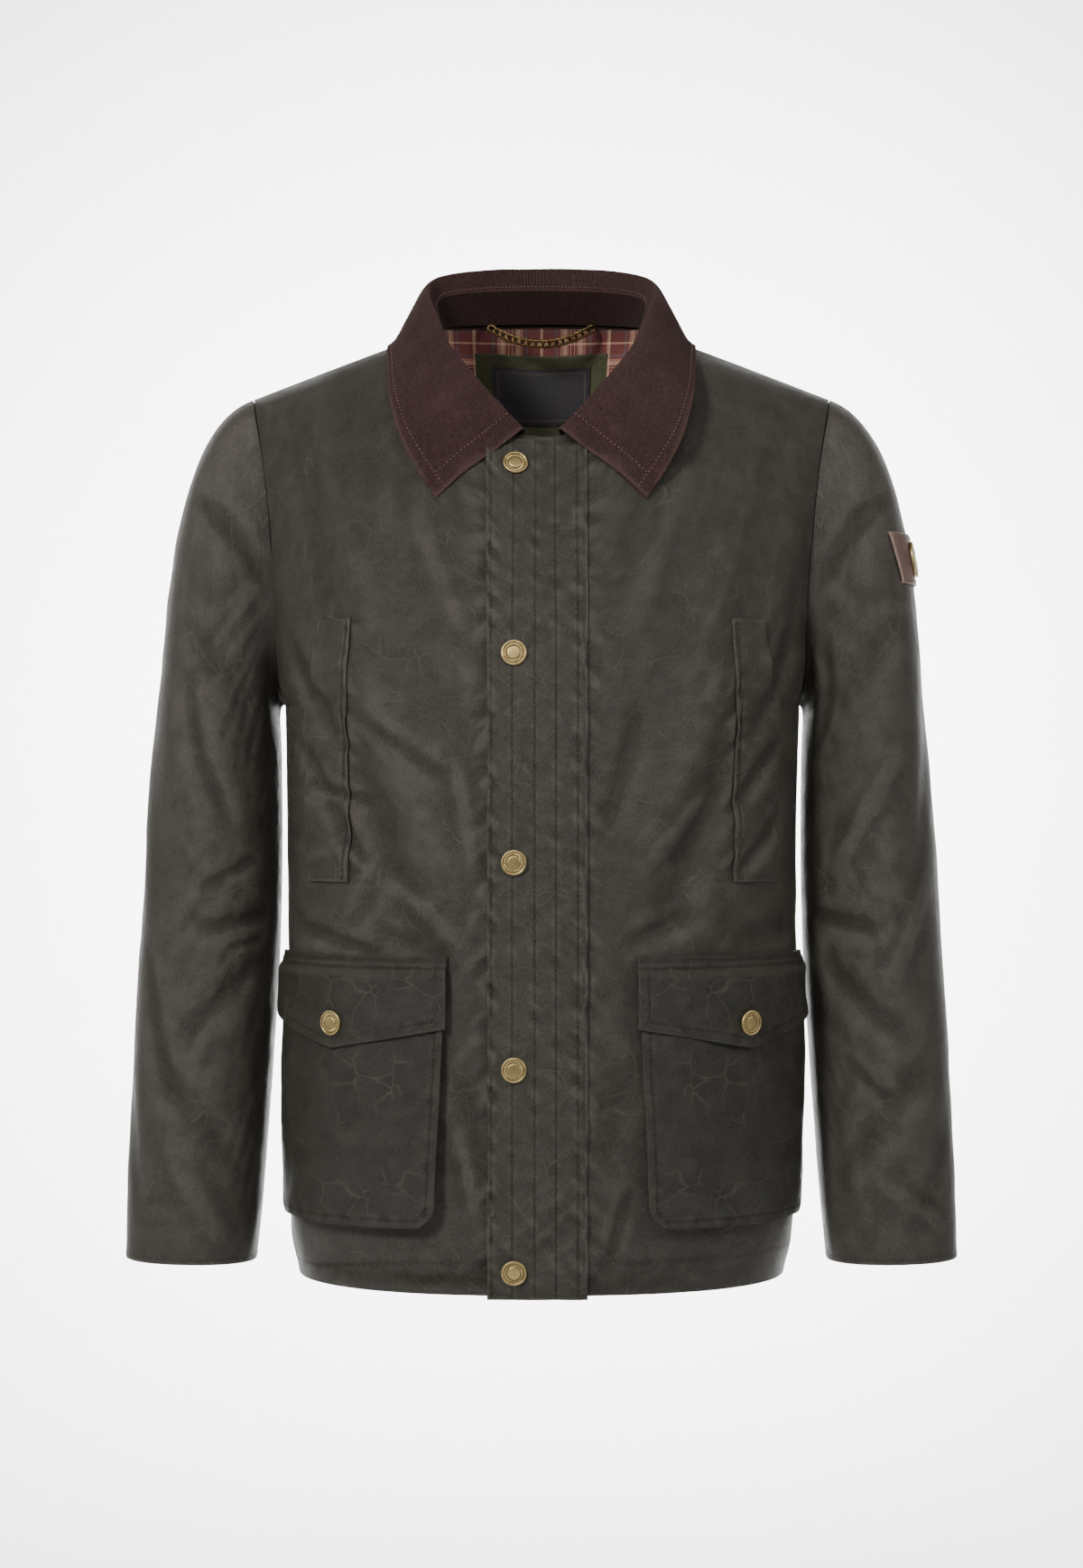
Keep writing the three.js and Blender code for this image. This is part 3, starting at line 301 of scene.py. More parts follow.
# %% Fold tables: from distance, from level, to distance, to level, width, depth
FRONT_FOLDS = [
    (146, -322, 84, -474, 15, -4.5), (138, -272, 58, -436, 17, 3.2), (112, -236, 36, -372, 20, -2.6),
    (222, -118, 150, -262, 15, -2.8), (226, -455, 150, -470, 12, -2.4), (60, -560, 44, -640, 12, -2.2)]
BACK_FOLDS = [
    (196, -150, 120, -300, 20, -3.4), (176, -110, 92, -236, 20, 2.4), (214, -400, 96, -470, 18, -3.2),
    (200, -440, 70, -520, 18, 2.6)]
FINE_FRONT_FOLDS = [
    (-196, -322, -140, -408, 8, -2.2), (-190, -352, -128, -366, 5, -1.4), (-140, -300, -66, -352, 7, -1.0),
    (-120, -420, -60, -466, 9, 1.5), (-64, -330, -48, -420, 8, 1.2), (-100, -180, -52, -250, 12, 1.2),
    (196, -318, 146, -372, 8, -2.0), (200, -372, 150, -420, 7, -1.8), (132, -352, 70, -420, 8, 1.3),
    (72, -300, 44, -400, 9, -1.2), (120, -160, 60, -246, 13, 1.1), (60, -470, 120, -446, 8, -1.2),
    (-60, -480, -128, -458, 8, -1.1), (-210, -250, -150, -330, 9, -1.6), (214, -240, 160, -322, 9, -1.6),
    (-62, -600, -46, -676, 7, 0.9), (64, -650, 50, -700, 6, -0.9), (-206, -460, -120, -476, 6, -1.2)]
FINE_BACK_FOLDS = [
    (-190, -300, -90, -352, 10, -1.6), (-150, -260, -60, -330, 12, 1.3), (160, -330, 60, -372, 9, -1.5),
    (-40, -420, 90, -452, 10, -1.2), (-180, -480, -30, -508, 9, 1.3), (60, -560, 190, -520, 10, -1.4),
    (-30, -140, -20, -330, 16, -1.1), (-120, -600, -90, -690, 12, -1.2), (110, -620, 96, -700, 12, 1.0)]
BIG_DEPTH, FINE_DEPTH, PUCKER_DEPTH = 1.25, 2.3, 1.7
WELT_BOTTOM, WELT_TOP = -425.0, -241.0
# lines of sewing on the front: distance, side on which the cloth puckers, length of a pucker
PLACKET_SIDES = ((33, 1, 11), (-39, -1, 11))
WELT_SIDES = ((150, -1, 9), (-150, 1, 9))


def body_relief(distance, level, front):
    away = np.abs(distance)
    width = FRONT_WIDTH if front else BACK_WIDTH
    big = BIG_DEPTH * fold_height(FRONT_FOLDS if front else BACK_FOLDS, away, level)
    big = big * (1 - smooth(width * 0.86, width * 0.97, away)) * (1 - smooth(TOP - 60, TOP - 10, level))
    folds = FINE_FRONT_FOLDS if front else FINE_BACK_FOLDS
    fine = FINE_DEPTH * fold_height(folds, distance, level)
    seed = 11 if front else 41
    fine = fine + 2.3 * cloth_noise(distance, level * 0.55, 74, seed)
    fine = fine + 0.85 * cloth_noise(distance * 0.9 + level * 0.3, level, 27, seed + 1)
    fine = fine + 0.5 * cloth_noise(distance - level * 0.6, level * 0.5, 13, seed + 2) * smooth(
        0, 0.6, cloth_noise(distance, level, 66, seed + 3))
    if front:
        by_welt = smooth(WELT_BOTTOM - 7, WELT_BOTTOM + 10, level)
        by_welt = by_welt * smooth(WELT_TOP + 5, WELT_TOP - 11, level)
        for line, way, wave in PLACKET_SIDES + WELT_SIDES:
            off = (distance - line) * way
            beside = np.exp(-((off / 10) ** 2)) * smooth(-3, 1, off)
            if (line, way, wave) in WELT_SIDES:
                beside = beside * by_welt
            ripple = cloth_noise(level + 0.5 * off, off * 0.15, wave, 60 + abs(line))
            fine = fine + PUCKER_DEPTH * beside * ripple
    fine = fine * (1 - smooth(width - 26, width - 6, away)) * (1 - smooth(TOP - 30, TOP - 6, level))
    return big + fine * smooth(HEM, HEM + 14, level)


def body_cloth(distance, level, front, lift=0.0):
    distance, level = np.broadcast_arrays(np.asarray(distance, float), np.asarray(level, float))
    surface = lambda a, b: body_surface(a, b, front)
    safe = np.clip(level, HEM - 5, TOP - 0.6)
    normal = normal_of(surface, distance, safe, 0.5, 1 if front else -1)
    near = (level > TOP - 1) & (np.abs(distance) > NECK_CLOTH - 1)
    if near.any():
        normal = np.where(near[..., None], unit(normal + shoulder_normal(distance, not front)), normal)
    relief = body_relief(distance, level, front) + lift
    return body_surface(distance, level, front) + normal * np.asarray(relief)[..., None], normal


def shoulder_normal(distance, front):
    width, other = (FRONT_WIDTH, BACK_WIDTH) if front else (BACK_WIDTH, FRONT_WIDTH)
    share = np.clip((np.abs(distance) - NECK_CLOTH) / (other - NECK_CLOTH), 0, 1)
    across = np.where(distance < 0, -1, 1) * lerp(NECK_CLOTH, width, share)
    level = np.full_like(across, TOP - 0.6)
    return normal_of(lambda a, b: body_surface(a, b, front), across, level, 0.5, 1 if front else -1)


# %% Panel edges
armhole_front, armhole_back = table_curves(ARMHOLE)


def panel_edge(level, front):
    share = (level - ARMPIT) / DEPTH
    low = np.minimum(level, ARMPIT)
    side = np.interp(low, ring_levels, ring_side)
    if front:
        return np.where(level > ARMPIT, FRONT_WIDTH * armhole_front(share), side)
    rest = np.interp(low, ring_levels, ring_total) - side
    return np.where(level > ARMPIT, BACK_WIDTH * armhole_back(share), rest)


def column_at(distance, level, front):
    width = FRONT_WIDTH if front else BACK_WIDTH
    away = np.abs(distance)
    shift = (panel_edge(level, front) - width) * smooth(0.45, 1, away / width)
    return np.where(distance < 0, -1, 1) * (away + shift)


def pattern_cloth(distance, level, front, lift=0.0):
    # the cloth over a place on the paper pattern, whose columns bend with the armhole
    return body_cloth(column_at(distance, level, front), level, front, lift)


def level_at(distance, height, front):
    low, high = np.full(np.shape(distance), ARMPIT), np.full(np.shape(distance), TOP)
    for _ in range(24):
        middle = (low + high) / 2
        under = body_surface(distance, middle, front)[..., 2] < height
        low, high = np.where(under, middle, low), np.where(under, high, middle)
    return low


# %% [markdown]
# ## From a grid of points to a piece of cloth
#
# A garment's edges are turned under and stitched, so an edge is rounded and a little thicker
# than the cloth. Each sheet gets such a turned edge where it is open. A value for rubbing and
# shade is kept on every point: high on ridges and edges, which are painted paler, partly as
# wear where the wax cracks and partly as painted highlight, and low in the hollows, which are
# painted darker as shade.

# %% Turned edges
def turn_under(points, normals, uv, thick, inside, first):
    if not first:
        return [x[::-1] for x in turn_under(points[::-1], normals[::-1], uv[::-1], thick, inside, True)]
    out = unit(points[0] - points[1])
    step = np.median(np.linalg.norm(points[1] - points[0], axis=-1))
    k = int(np.clip(round(inside / max(step, 0.1)), 1, len(points) - 1))
    # rows along the inside, then a rounded nose, then the sheet itself
    rows = sorted({max(round(k * share), 1) for share in (1, 0.75, 0.5, 0.25, 0)}, reverse=True)
    bands = [points[i] - normals[i] * thick for i in rows]
    for reach, drop in ((0.0, 1.0), (0.36, 0.85), (0.5, 0.5), (0.36, 0.15)):
        bands.append(points[0] + out * (reach * thick) - normals[0] * (drop * thick))
    extra = np.array(bands)
    gaps = np.linalg.norm(np.diff(np.concatenate([extra, points[:1]]), axis=0), axis=-1)
    run = np.cumsum(gaps[::-1], 0)[::-1]
    slope = unit(uv[0] - uv[1])
    extra_uv = uv[0][None] + slope[None] * run[..., None]
    extra_normals = np.repeat(normals[:1], len(extra), 0)
    return [np.concatenate(pair) for pair in ((extra, points), (extra_normals, normals), (extra_uv, uv))]


def turned(points, normals, uv, thick, sides, inside=9.0):
    grids = [points, normals, uv]
    if "b" in sides:
        grids = turn_under(*grids, thick, inside, True)
    if "t" in sides:
        grids = turn_under(*grids, thick, inside, False)
    grids = [g.transpose(1, 0, 2) for g in grids]
    if "l" in sides:
        grids = turn_under(*grids, thick, inside, True)
    if "r" in sides:
        grids = turn_under(*grids, thick, inside, False)
    return [g.transpose(1, 0, 2) for g in grids]


# %% Mesh builder
def link_mesh(name, vertices, faces, material, loop_uv=None, rub_and_shade=None):
    faces = np.asarray(faces)
    count, corners = faces.shape
    mesh = bpy.data.meshes.new(name)
    mesh.vertices.add(len(vertices))
    mesh.vertices.foreach_set("co", (np.asarray(vertices) * MM).ravel())
    mesh.loops.add(faces.size)
    mesh.loops.foreach_set("vertex_index", faces.ravel())
    mesh.polygons.add(count)
    mesh.polygons.foreach_set("loop_start", np.arange(0, faces.size, corners))
    mesh.update(calc_edges=True)
    mesh.polygons.foreach_set("use_smooth", np.ones(count, bool))
    if loop_uv is not None:
        layer = mesh.uv_layers.new(name="cloth")
        layer.data.foreach_set("uv", (np.asarray(loop_uv) * MM).ravel())
    if rub_and_shade is not None:
        # a value per point: paler wear and painted highlight on ridges, painted shade in hollows
        mesh.attributes.new("rub_and_shade", "FLOAT", "POINT").data.foreach_set("value", np.ravel(rub_and_shade))
    mesh.materials.append(material)
    obj = bpy.data.objects.new(f"{name}_look", mesh)
    scene.collection.objects.link(obj)
    return obj


def cells(rows, width, closed=False):
    # the corners of each cell of a grid of points, whose columns may close to a ring
    i, j = np.arange(rows - 1)[:, None], np.arange(width if closed else width - 1)[None, :]
    k = (j + 1) % width
    low, high = i * width, (i + 1) * width
    return np.stack([low + j, low + k, high + k, high + j], -1).reshape(-1, 4)


def sheet(name, points, uv, material, flip=False, tube=False, rub_and_shade=None):
    quads, places = cells(*points.shape[:2], tube), cells(*uv.shape[:2])
    if flip:
        quads, places = quads[:, ::-1], places[:, ::-1]
    obj = link_mesh(name, points.reshape(-1, 3), quads, material, uv.reshape(-1, 2)[places.ravel()], rub_and_shade)
    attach(obj, "jacket")
    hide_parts(name)
    return obj


def ridge_rub_and_shade(points, normals, spread=3):
    # how far each point stands above its neighbours, along the cloth's own normal
    # the result paints ridges paler (wear and painted highlight) and hollows darker (painted shade)
    total = np.zeros(points.shape[:2])
    for s in (1, spread):
        pad = np.pad(points, ((s, s), (s, s), (0, 0)), mode="edge")
        around = (pad[2 * s:, s:-s] + pad[:-2 * s, s:-s] + pad[s:-s, 2 * s:] + pad[s:-s, :-2 * s]) / 4
        lift = ((points - around) * normals).sum(-1)
        lift[:s], lift[-s:], lift[:, :s], lift[:, -s:] = 0, 0, 0, 0
        total += lift / (0.16 * s * s)
    return np.clip(total, -0.5, 1)


def sewn_on(name, points, normals, uv, material, inside=9.0, flip=False):
    # a doubled strip or patch, turned under on all four sides
    points, normals, uv = turned(points, normals, uv, PLY, "bltr", inside)
    rub_and_shade = ridge_rub_and_shade(points, normals, 2)
    return sheet(name, points, uv, material, flip=flip, rub_and_shade=rub_and_shade)


# %% [markdown]
# ## Materials
#
# Waxed cotton is a tight plain weave, nearly black-olive where the wax is thick and greyer
# where it is rubbed. Its ridges are painted paler, partly as wear and partly as painted
# highlight, and its hollows are painted darker as shade. The wax gives it a broad, dull shine
# and a pale bloom at grazing angles, which the sheen stands for. Corduroy's cords are cut pile:
# they are light on their crowns, black between, and run across the collar from the fold to the
# edge. On the stand the same cloth is painted darker, as shade. The lining is a brushed check
# woven from burgundy, cream and grey-blue yarns, so each stripe mixes with the one that
# crosses it. All of it is worked out from the cloth coordinates in metres.

# %% Node helpers
def new_material(name):
    material = bpy.data.materials.new(name)
    material.use_nodes = True
    return material, material.node_tree, material.node_tree.nodes["Principled BSDF"]


def node(tree, kind, **settings):
    made = tree.nodes.new(kind)
    for key, value in settings.items():
        if key.startswith("in_"):
            socket = key[3:]
            made.inputs[int(socket) if socket.isdigit() else socket].default_value = value
        else:
            setattr(made, key, value)
    return made


def maths(tree, operation, a, b=None, c=None):
    made = node(tree, "ShaderNodeMath", operation=operation)
    for socket, value in zip(made.inputs, (a, b, c)):
        if value is None:
            continue
        if isinstance(value, (int, float)):
            socket.default_value = value
        else:
            tree.links.new(value, socket)
    return made.outputs[0]


def mix_colour(tree, share, a, b, blend="MIX"):
    made = node(tree, "ShaderNodeMix", data_type="RGBA", blend_type=blend)
    for socket, value in ((made.inputs[0], share), (made.inputs[6], a), (made.inputs[7], b)):
        if isinstance(value, (int, float)):
            socket.default_value = value
        elif isinstance(value, tuple):
            socket.default_value = (*value, 1)
        else:
            tree.links.new(value, socket)
    return made.outputs[2]


def wave(tree, operation, place, length):
    return maths(tree, operation, maths(tree, "MULTIPLY", place, 2 * math.pi / length))


def noise(tree, vector, scale, detail=3, roughness=0.55, output="Fac"):
    made = node(tree, "ShaderNodeTexNoise", in_Scale=scale, in_Detail=detail, in_Roughness=roughness)
    tree.links.new(vector, made.inputs["Vector"])
    return made.outputs[output]


def stretch(tree, value, low, high, to_low=0.0, to_high=1.0):
    made = node(tree, "ShaderNodeMapRange", in_1=low, in_2=high, in_3=to_low, in_4=to_high)
    tree.links.new(value, made.inputs[0])
    return made.outputs[0]


def rub_and_shade_value(tree):
    return node(tree, "ShaderNodeAttribute", attribute_name="rub_and_shade").outputs["Fac"]


def cloth_axes(tree):
    uv = node(tree, "ShaderNodeUVMap", uv_map="cloth")
    parts = node(tree, "ShaderNodeSeparateXYZ")
    tree.links.new(uv.outputs[0], parts.inputs[0])
    return uv.outputs[0], parts.outputs[0], parts.outputs[1]


def bump(tree, shader, heights):
    # heights: (value, distance in metres), laid over one another
    normal = None
    for value, distance in heights:
        made = node(tree, "ShaderNodeBump", in_Strength=1.0, in_Distance=distance)
        tree.links.new(value, made.inputs["Height"])
        if normal is not None:
            tree.links.new(normal, made.inputs["Normal"])
        normal = made.outputs[0]
    tree.links.new(normal, shader.inputs["Normal"])


# %% Waxed cotton
# a near-black wax colour, used for the dark grain and for painted shade in the hollows
WAX_GRAIN_AND_SHADE, WAX_BLOOM = (0.009, 0.008, 0.005), (0.085, 0.08, 0.056)


def waxed_cotton(name, tone, green, pale):
    material, tree, shader = new_material(name)
    uv, u, v = cloth_axes(tree)
    broad = noise(tree, uv, 9, 3)
    middle = noise(tree, uv, 60, 4, 0.65)
    fine = noise(tree, uv, 900, 2)
    colour = mix_colour(tree, stretch(tree, broad, 0.35, 0.7), tone, green)
    colour = mix_colour(tree, stretch(tree, middle, 0.4, 0.68, 0.0, 0.25), colour, pale)
    warp = mix_colour(tree, 0.02, uv, noise(tree, uv, 30, 2, 0.5, "Color"), "ADD")
    net = node(tree, "ShaderNodeTexVoronoi", feature="DISTANCE_TO_EDGE", in_Scale=42.0)
    tree.links.new(warp, net.inputs["Vector"])
    cracks = stretch(tree, net.outputs["Distance"], 0.0, 0.035, 1.0, 0.0)
    crackle = maths(tree, "MULTIPLY", cracks, stretch(tree, noise(tree, uv, 24, 2), 0.46, 0.62))
    colour = mix_colour(tree, maths(tree, "MULTIPLY", crackle, 0.65), colour, WAX_BLOOM)
    rub_and_shade = rub_and_shade_value(tree)
    # ridges, where the value is high, are painted paler: partly wear, partly painted highlight
    patchy = stretch(tree, middle, 0.35, 0.6, 0.45, 0.95)
    scuff_and_highlight = maths(tree, "MULTIPLY", stretch(tree, rub_and_shade, 0.05, 0.6), patchy)
    colour = mix_colour(tree, scuff_and_highlight, colour, pale)
    # painted shade: hollows, stitch lines and the hem, where the value is low, are painted darker
    colour = mix_colour(tree, stretch(tree, rub_and_shade, -0.1, -1.2, 0.0, 0.75), colour, WAX_GRAIN_AND_SHADE)
    thready = node(tree, "ShaderNodeCombineXYZ")
    tree.links.new(maths(tree, "MULTIPLY", u, 900), thready.inputs[0])
    tree.links.new(maths(tree, "MULTIPLY", v, 320), thready.inputs[1])
    slub = noise(tree, thready.outputs[0], 1.0, 3, 0.7)
    colour = mix_colour(tree, stretch(tree, slub, 0.3, 0.75, 0.0, 0.5), colour, pale)
    colour = mix_colour(tree, stretch(tree, fine, 0.3, 0.7, 0.0, 0.6), colour, WAX_GRAIN_AND_SHADE)
    tree.links.new(colour, shader.inputs["Base Color"])
    tree.links.new(stretch(tree, middle, 0.3, 0.75, 0.36, 0.55), shader.inputs["Roughness"])
    weave = maths(tree, "MULTIPLY", wave(tree, "SINE", u, 0.00062), wave(tree, "SINE", v, 0.00055))
    threads = [(slub, 0.0003), (fine, 0.00025), (weave, 0.00008)]
    bump(tree, shader, [(middle, 0.0015), (crackle, 0.0003)] + threads)
    shine = stretch(tree, middle, 0.3, 0.72, 0.27, 0.39)
    shine = maths(tree, "MULTIPLY", shine, stretch(tree, slub, 0.25, 0.75, 0.8, 1.2))
    shine = maths(tree, "MULTIPLY", shine, stretch(tree, rub_and_shade, -0.2, -1.2, 1.0, 0.25))
    tree.links.new(shine, shader.inputs["Specular IOR Level"])
    shader.inputs["Sheen Weight"].default_value = 0.03
    shader.inputs["Sheen Roughness"].default_value = 0.45
    shader.inputs["Sheen Tint"].default_value = (0.78, 0.8, 0.66, 1)
    return material


wax = waxed_cotton(
    "waxed_cotton", (0.0235, 0.0186, 0.014), (0.0175, 0.0157, 0.0088), (0.07, 0.06, 0.048))
# a darker copy of the waxed cotton for pockets, gussets and flaps: painted shade
wax_shaded = waxed_cotton(
    "waxed_cotton_shaded", (0.0115, 0.0094, 0.0062), (0.0095, 0.009, 0.0042), (0.036, 0.032, 0.022))
olive = waxed_cotton(
    "olive_facing", (0.075, 0.08, 0.035), (0.066, 0.074, 0.03), (0.1, 0.105, 0.056))


# %% Corduroy
def corduroy_material(name, crowns, fuzz, worn):
    material, tree, shader = new_material(name)
    uv, u, _ = cloth_axes(tree)
    crown = stretch(tree, wave(tree, "COSINE", u, 0.0019), -1.0, 0.7)
    nap = noise(tree, uv, 320, 4, 0.7)
    patches = noise(tree, uv, 22, 3)
    colour = mix_colour(tree, crown, (0.005, 0.0022, 0.002), crowns)
    colour = mix_colour(tree, stretch(tree, nap, 0.35, 0.75, 0.0, 0.5), colour, fuzz)
    colour = mix_colour(tree, stretch(tree, patches, 0.35, 0.7, 0.0, 0.3), colour, (0.018, 0.009, 0.008))
    colour = mix_colour(tree, stretch(tree, rub_and_shade_value(tree), 0.1, 0.9, 0.0, 0.35), colour, worn)
    tree.links.new(colour, shader.inputs["Base Color"])
    shader.inputs["Roughness"].default_value = 0.95
    shader.inputs["Specular IOR Level"].default_value = 0.05
    shader.inputs["Sheen Weight"].default_value = 0.05
    shader.inputs["Sheen Roughness"].default_value = 0.35
    shader.inputs["Sheen Tint"].default_value = (0.85, 0.66, 0.62, 1)
    bump(tree, shader, [(crown, 0.0006), (nap, 0.0004)])
    return material


corduroy = corduroy_material(
    "corduroy", (0.05, 0.0265, 0.0235), (0.082, 0.047, 0.044), (0.1, 0.06, 0.054))
# a darker copy of the corduroy for the stand: painted shade
corduroy_against = corduroy_material(
    "corduroy_against_nap", (0.019, 0.01, 0.0088), (0.03, 0.0165, 0.015), (0.04, 0.023, 0.021))


# %% Check lining
REPEAT = 0.0506


def stripe_ramp(tree, place, rows):
    phase = maths(tree, "FRACT", maths(tree, "ADD", maths(tree, "DIVIDE", place, REPEAT), 40.0))
    ramp = node(tree, "ShaderNodeValToRGB")
    ramp.color_ramp.interpolation = "CONSTANT"
    stops = ramp.color_ramp.elements
    stops[0].position, stops[0].color = rows[0][0], (*rows[0][1], 1)
    stops[1].position, stops[1].color = rows[1][0], (*rows[1][1], 1)
    for position, colour in rows[2:]:
        stops.new(position).color = (*colour, 1)
    tree.links.new(phase, ramp.inputs[0])
    return ramp.outputs[0]


def check_lining_material():
    material, tree, shader = new_material("check_lining")
    uv, u, v = cloth_axes(tree)
    burgundy, cream = (0.16, 0.034, 0.036), (0.75, 0.5, 0.32)
    blue, tan = (0.12, 0.1, 0.115), (0.5, 0.27, 0.19)
    rows = [
        (0.0, cream), (0.022, burgundy), (0.23, blue), (0.275, burgundy), (0.31, tan), (0.36, cream),
        (0.41, tan), (0.435, burgundy), (0.465, cream), (0.48, burgundy), (0.52, cream), (0.535, burgundy),
        (0.565, tan), (0.59, cream), (0.64, tan), (0.69, burgundy), (0.725, blue), (0.77, burgundy),
        (0.978, cream)]
    twill = wave(tree, "SINE", maths(tree, "ADD", u, v), 0.0009)
    share = stretch(tree, twill, -0.5, 0.5, 0.3, 0.7)
    colour = mix_colour(tree, share, stripe_ramp(tree, u, rows), stripe_ramp(tree, v, rows))
    fuzz = noise(tree, uv, 700, 3, 0.7)
    colour = mix_colour(tree, stretch(tree, fuzz, 0.3, 0.8, 0.0, 0.35), colour, (0.3, 0.19, 0.16))
    tree.links.new(colour, shader.inputs["Base Color"])
    shader.inputs["Roughness"].default_value = 0.92
    shader.inputs["Specular IOR Level"].default_value = 0.2
    bump(tree, shader, [(fuzz, 0.0004), (twill, 0.0001)])
    return material


check_lining = check_lining_material()


# %% Label twill, leather, thread and brass
def label_material():
    material, tree, shader = new_material("woven_label")
    uv, u, v = cloth_axes(tree)
    twill = wave(tree, "SINE", maths(tree, "SUBTRACT", u, v), 0.0011)
    lint = noise(tree, uv, 500, 3)
    colour = mix_colour(tree, stretch(tree, twill, -0.8, 0.8), (0.011, 0.009, 0.012), (0.034, 0.029, 0.035))
    colour = mix_colour(tree, stretch(tree, lint, 0.4, 0.8, 0.0, 0.3), colour, (0.07, 0.06, 0.06))
    colour = mix_colour(tree, rub_and_shade_value(tree), colour, (0.075, 0.056, 0.04))
    tree.links.new(colour, shader.inputs["Base Color"])
    shader.inputs["Roughness"].default_value = 0.7
    bump(tree, shader, [(twill, 0.00015), (lint, 0.0001)])
    return material


def leather_material():
    material, tree, shader = new_material("badge_leather")
    uv, _, _ = cloth_axes(tree)
    pores = node(tree, "ShaderNodeTexVoronoi", in_Scale=900.0)
    tree.links.new(uv, pores.inputs["Vector"])
    tone = noise(tree, uv, 60, 4)
    colour = mix_colour(tree, stretch(tree, tone, 0.3, 0.7), (0.085, 0.045, 0.038), (0.15, 0.09, 0.072))
    colour = mix_colour(tree, stretch(tree, rub_and_shade_value(tree), 0.1, 0.9, 0.0, 0.5), colour, (0.24, 0.16, 0.13))
    tree.links.new(colour, shader.inputs["Base Color"])
    tree.links.new(stretch(tree, tone, 0.3, 0.7, 0.38, 0.55), shader.inputs["Roughness"])
    bump(tree, shader, [(pores.outputs["Distance"], 0.0002), (tone, 0.0003)])
    return material


def thread_material(name, dark, light):
    material, tree, shader = new_material(name)
    place = node(tree, "ShaderNodeTexCoord").outputs["Object"]
    ply = noise(tree, place, 1400, 2)
    colour = mix_colour(tree, stretch(tree, ply, 0.35, 0.65), dark, light)
    tree.links.new(colour, shader.inputs["Base Color"])
    shader.inputs["Roughness"].default_value = 0.6
    bump(tree, shader, [(ply, 0.0001)])
    return material


def brass_material(name, bright, dull, rough):
    material, tree, shader = new_material(name)
    place = node(tree, "ShaderNodeTexCoord").outputs["Object"]
    stain = noise(tree, place, 260, 5, 0.7)
    grain = noise(tree, place, 2200, 2)
    colour = mix_colour(tree, stretch(tree, stain, 0.35, 0.7), bright, dull)
    sunk = stretch(tree, rub_and_shade_value(tree), 0.0, -1.0, 0.0, 0.9)
    colour = mix_colour(tree, sunk, colour, (0.05, 0.03, 0.012))
    tree.links.new(colour, shader.inputs["Base Color"])
    tree.links.new(stretch(tree, stain, 0.3, 0.7, rough, rough + 0.2), shader.inputs["Roughness"])
    shader.inputs["Metallic"].default_value = 1.0
    bump(tree, shader, [(grain, 0.00008), (stain, 0.00006)])
    return material


label_twill, leather = label_material(), leather_material()
thread = thread_material("olive_thread", (0.009, 0.008, 0.0045), (0.042, 0.037, 0.02))
collar_thread = thread_material("brown_thread", (0.1, 0.056, 0.047), (0.25, 0.16, 0.135))
snap_brass = brass_material("snap_brass", (0.47, 0.36, 0.165), (0.33, 0.24, 0.1), 0.3)
chain_brass = brass_material("chain_brass", (0.17, 0.11, 0.043), (0.06, 0.037, 0.015), 0.3)
print(len(bpy.data.materials), "materials")

# %% [markdown]
# ## Stitching
#
# A machine stitch lies slightly sunk at both ends, where it goes through the cloth, and rises
# between them. Each one here is a small pointed bead of thread set along the line. Lines of
# stitching also draw the cloth up, and that is what makes a waxed jacket's seams ripple.


# %% Rows of stitches
stitch_store = {}


def stitch_row(kind, points, normals, pitch=3.2, length=2.5, width=0.75, height=0.42):
    points, normals = np.asarray(points, float), np.asarray(normals, float)
    run = run_along(points)
    count = max(int(run[-1] / pitch), 1)
    places = (np.arange(count) + 0.5) * run[-1] / count
    centre, normal = read_along(run, points, places), unit(read_along(run, normals, places))
    along = unit(read_along(run, points, places + 0.6) - read_along(run, points, places - 0.6))
    side = unit(np.cross(normal, along))
    lean = rng.normal(0, 0.05, (count, 1))
    along = unit(along + side * lean)
    half = along * length / 2
    six = np.stack([
        centre - half - normal * 0.12, centre + half - normal * 0.12, centre + side * width / 2,
        centre - side * width / 2, centre + normal * height, centre - normal * 0.15], 1)
    stitch_store.setdefault(kind, []).append(six.reshape(-1, 3))
    return count


def stitch_body(distance, level, front, lift=0.05):
    distance, level = np.broadcast_arrays(np.asarray(distance, float), np.asarray(level, float))
    stitch_row("wax", *pattern_cloth(distance, level, front, lift))


OCTAHEDRON = np.array([
    (0, 4, 2), (0, 3, 4), (1, 2, 4), (1, 4, 3), (0, 2, 5), (0, 5, 3), (1, 5, 2), (1, 3, 5)])


def sew(kind, name, material):
    vertices = np.concatenate(stitch_store[kind])
    count = len(vertices) // 6
    faces = (OCTAHEDRON[None] + 6 * np.arange(count)[:, None, None]).reshape(-1, 3)
    obj = link_mesh(name, vertices, faces, material)
    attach(obj, "jacket")
    print(name, count, "stitches")


# %% [markdown]
# ## Fronts and back
#
# The two fronts meet at the centre under the placket. The back is one piece. They share the
# shoulder seam and the side seam, and their outer edges above the armpit are the armholes.


# %% Panels
def panel(front, low, high, step):
    count = int((high - low) / step)
    distances = np.linspace(low, high, count + 1)
    upper = np.linspace(ARMPIT, TOP - SEAM / 2, int(DEPTH / step))
    d, level = np.meshgrid(distances, np.concatenate([np.arange(HEM, ARMPIT, step), upper]))
    points, normals = pattern_cloth(d, level, front)
    length = run_along(points[:, count // 2])
    uv = np.stack([d, np.broadcast_to(length[:, None], d.shape)], -1)
    return points, normals, uv


HEM_SHADE = 0.6


def make_panel(name, front, low, high, step):
    points, normals, uv = turned(*panel(front, low, high, step), SHELL, "b", 22)
    rub_and_shade = ridge_rub_and_shade(points, normals) - HEM_SHADE * smooth(HEM + 50, HEM + 10, points[..., 2])
    return sheet(name, points, uv, wax, flip=not front, rub_and_shade=rub_and_shade)


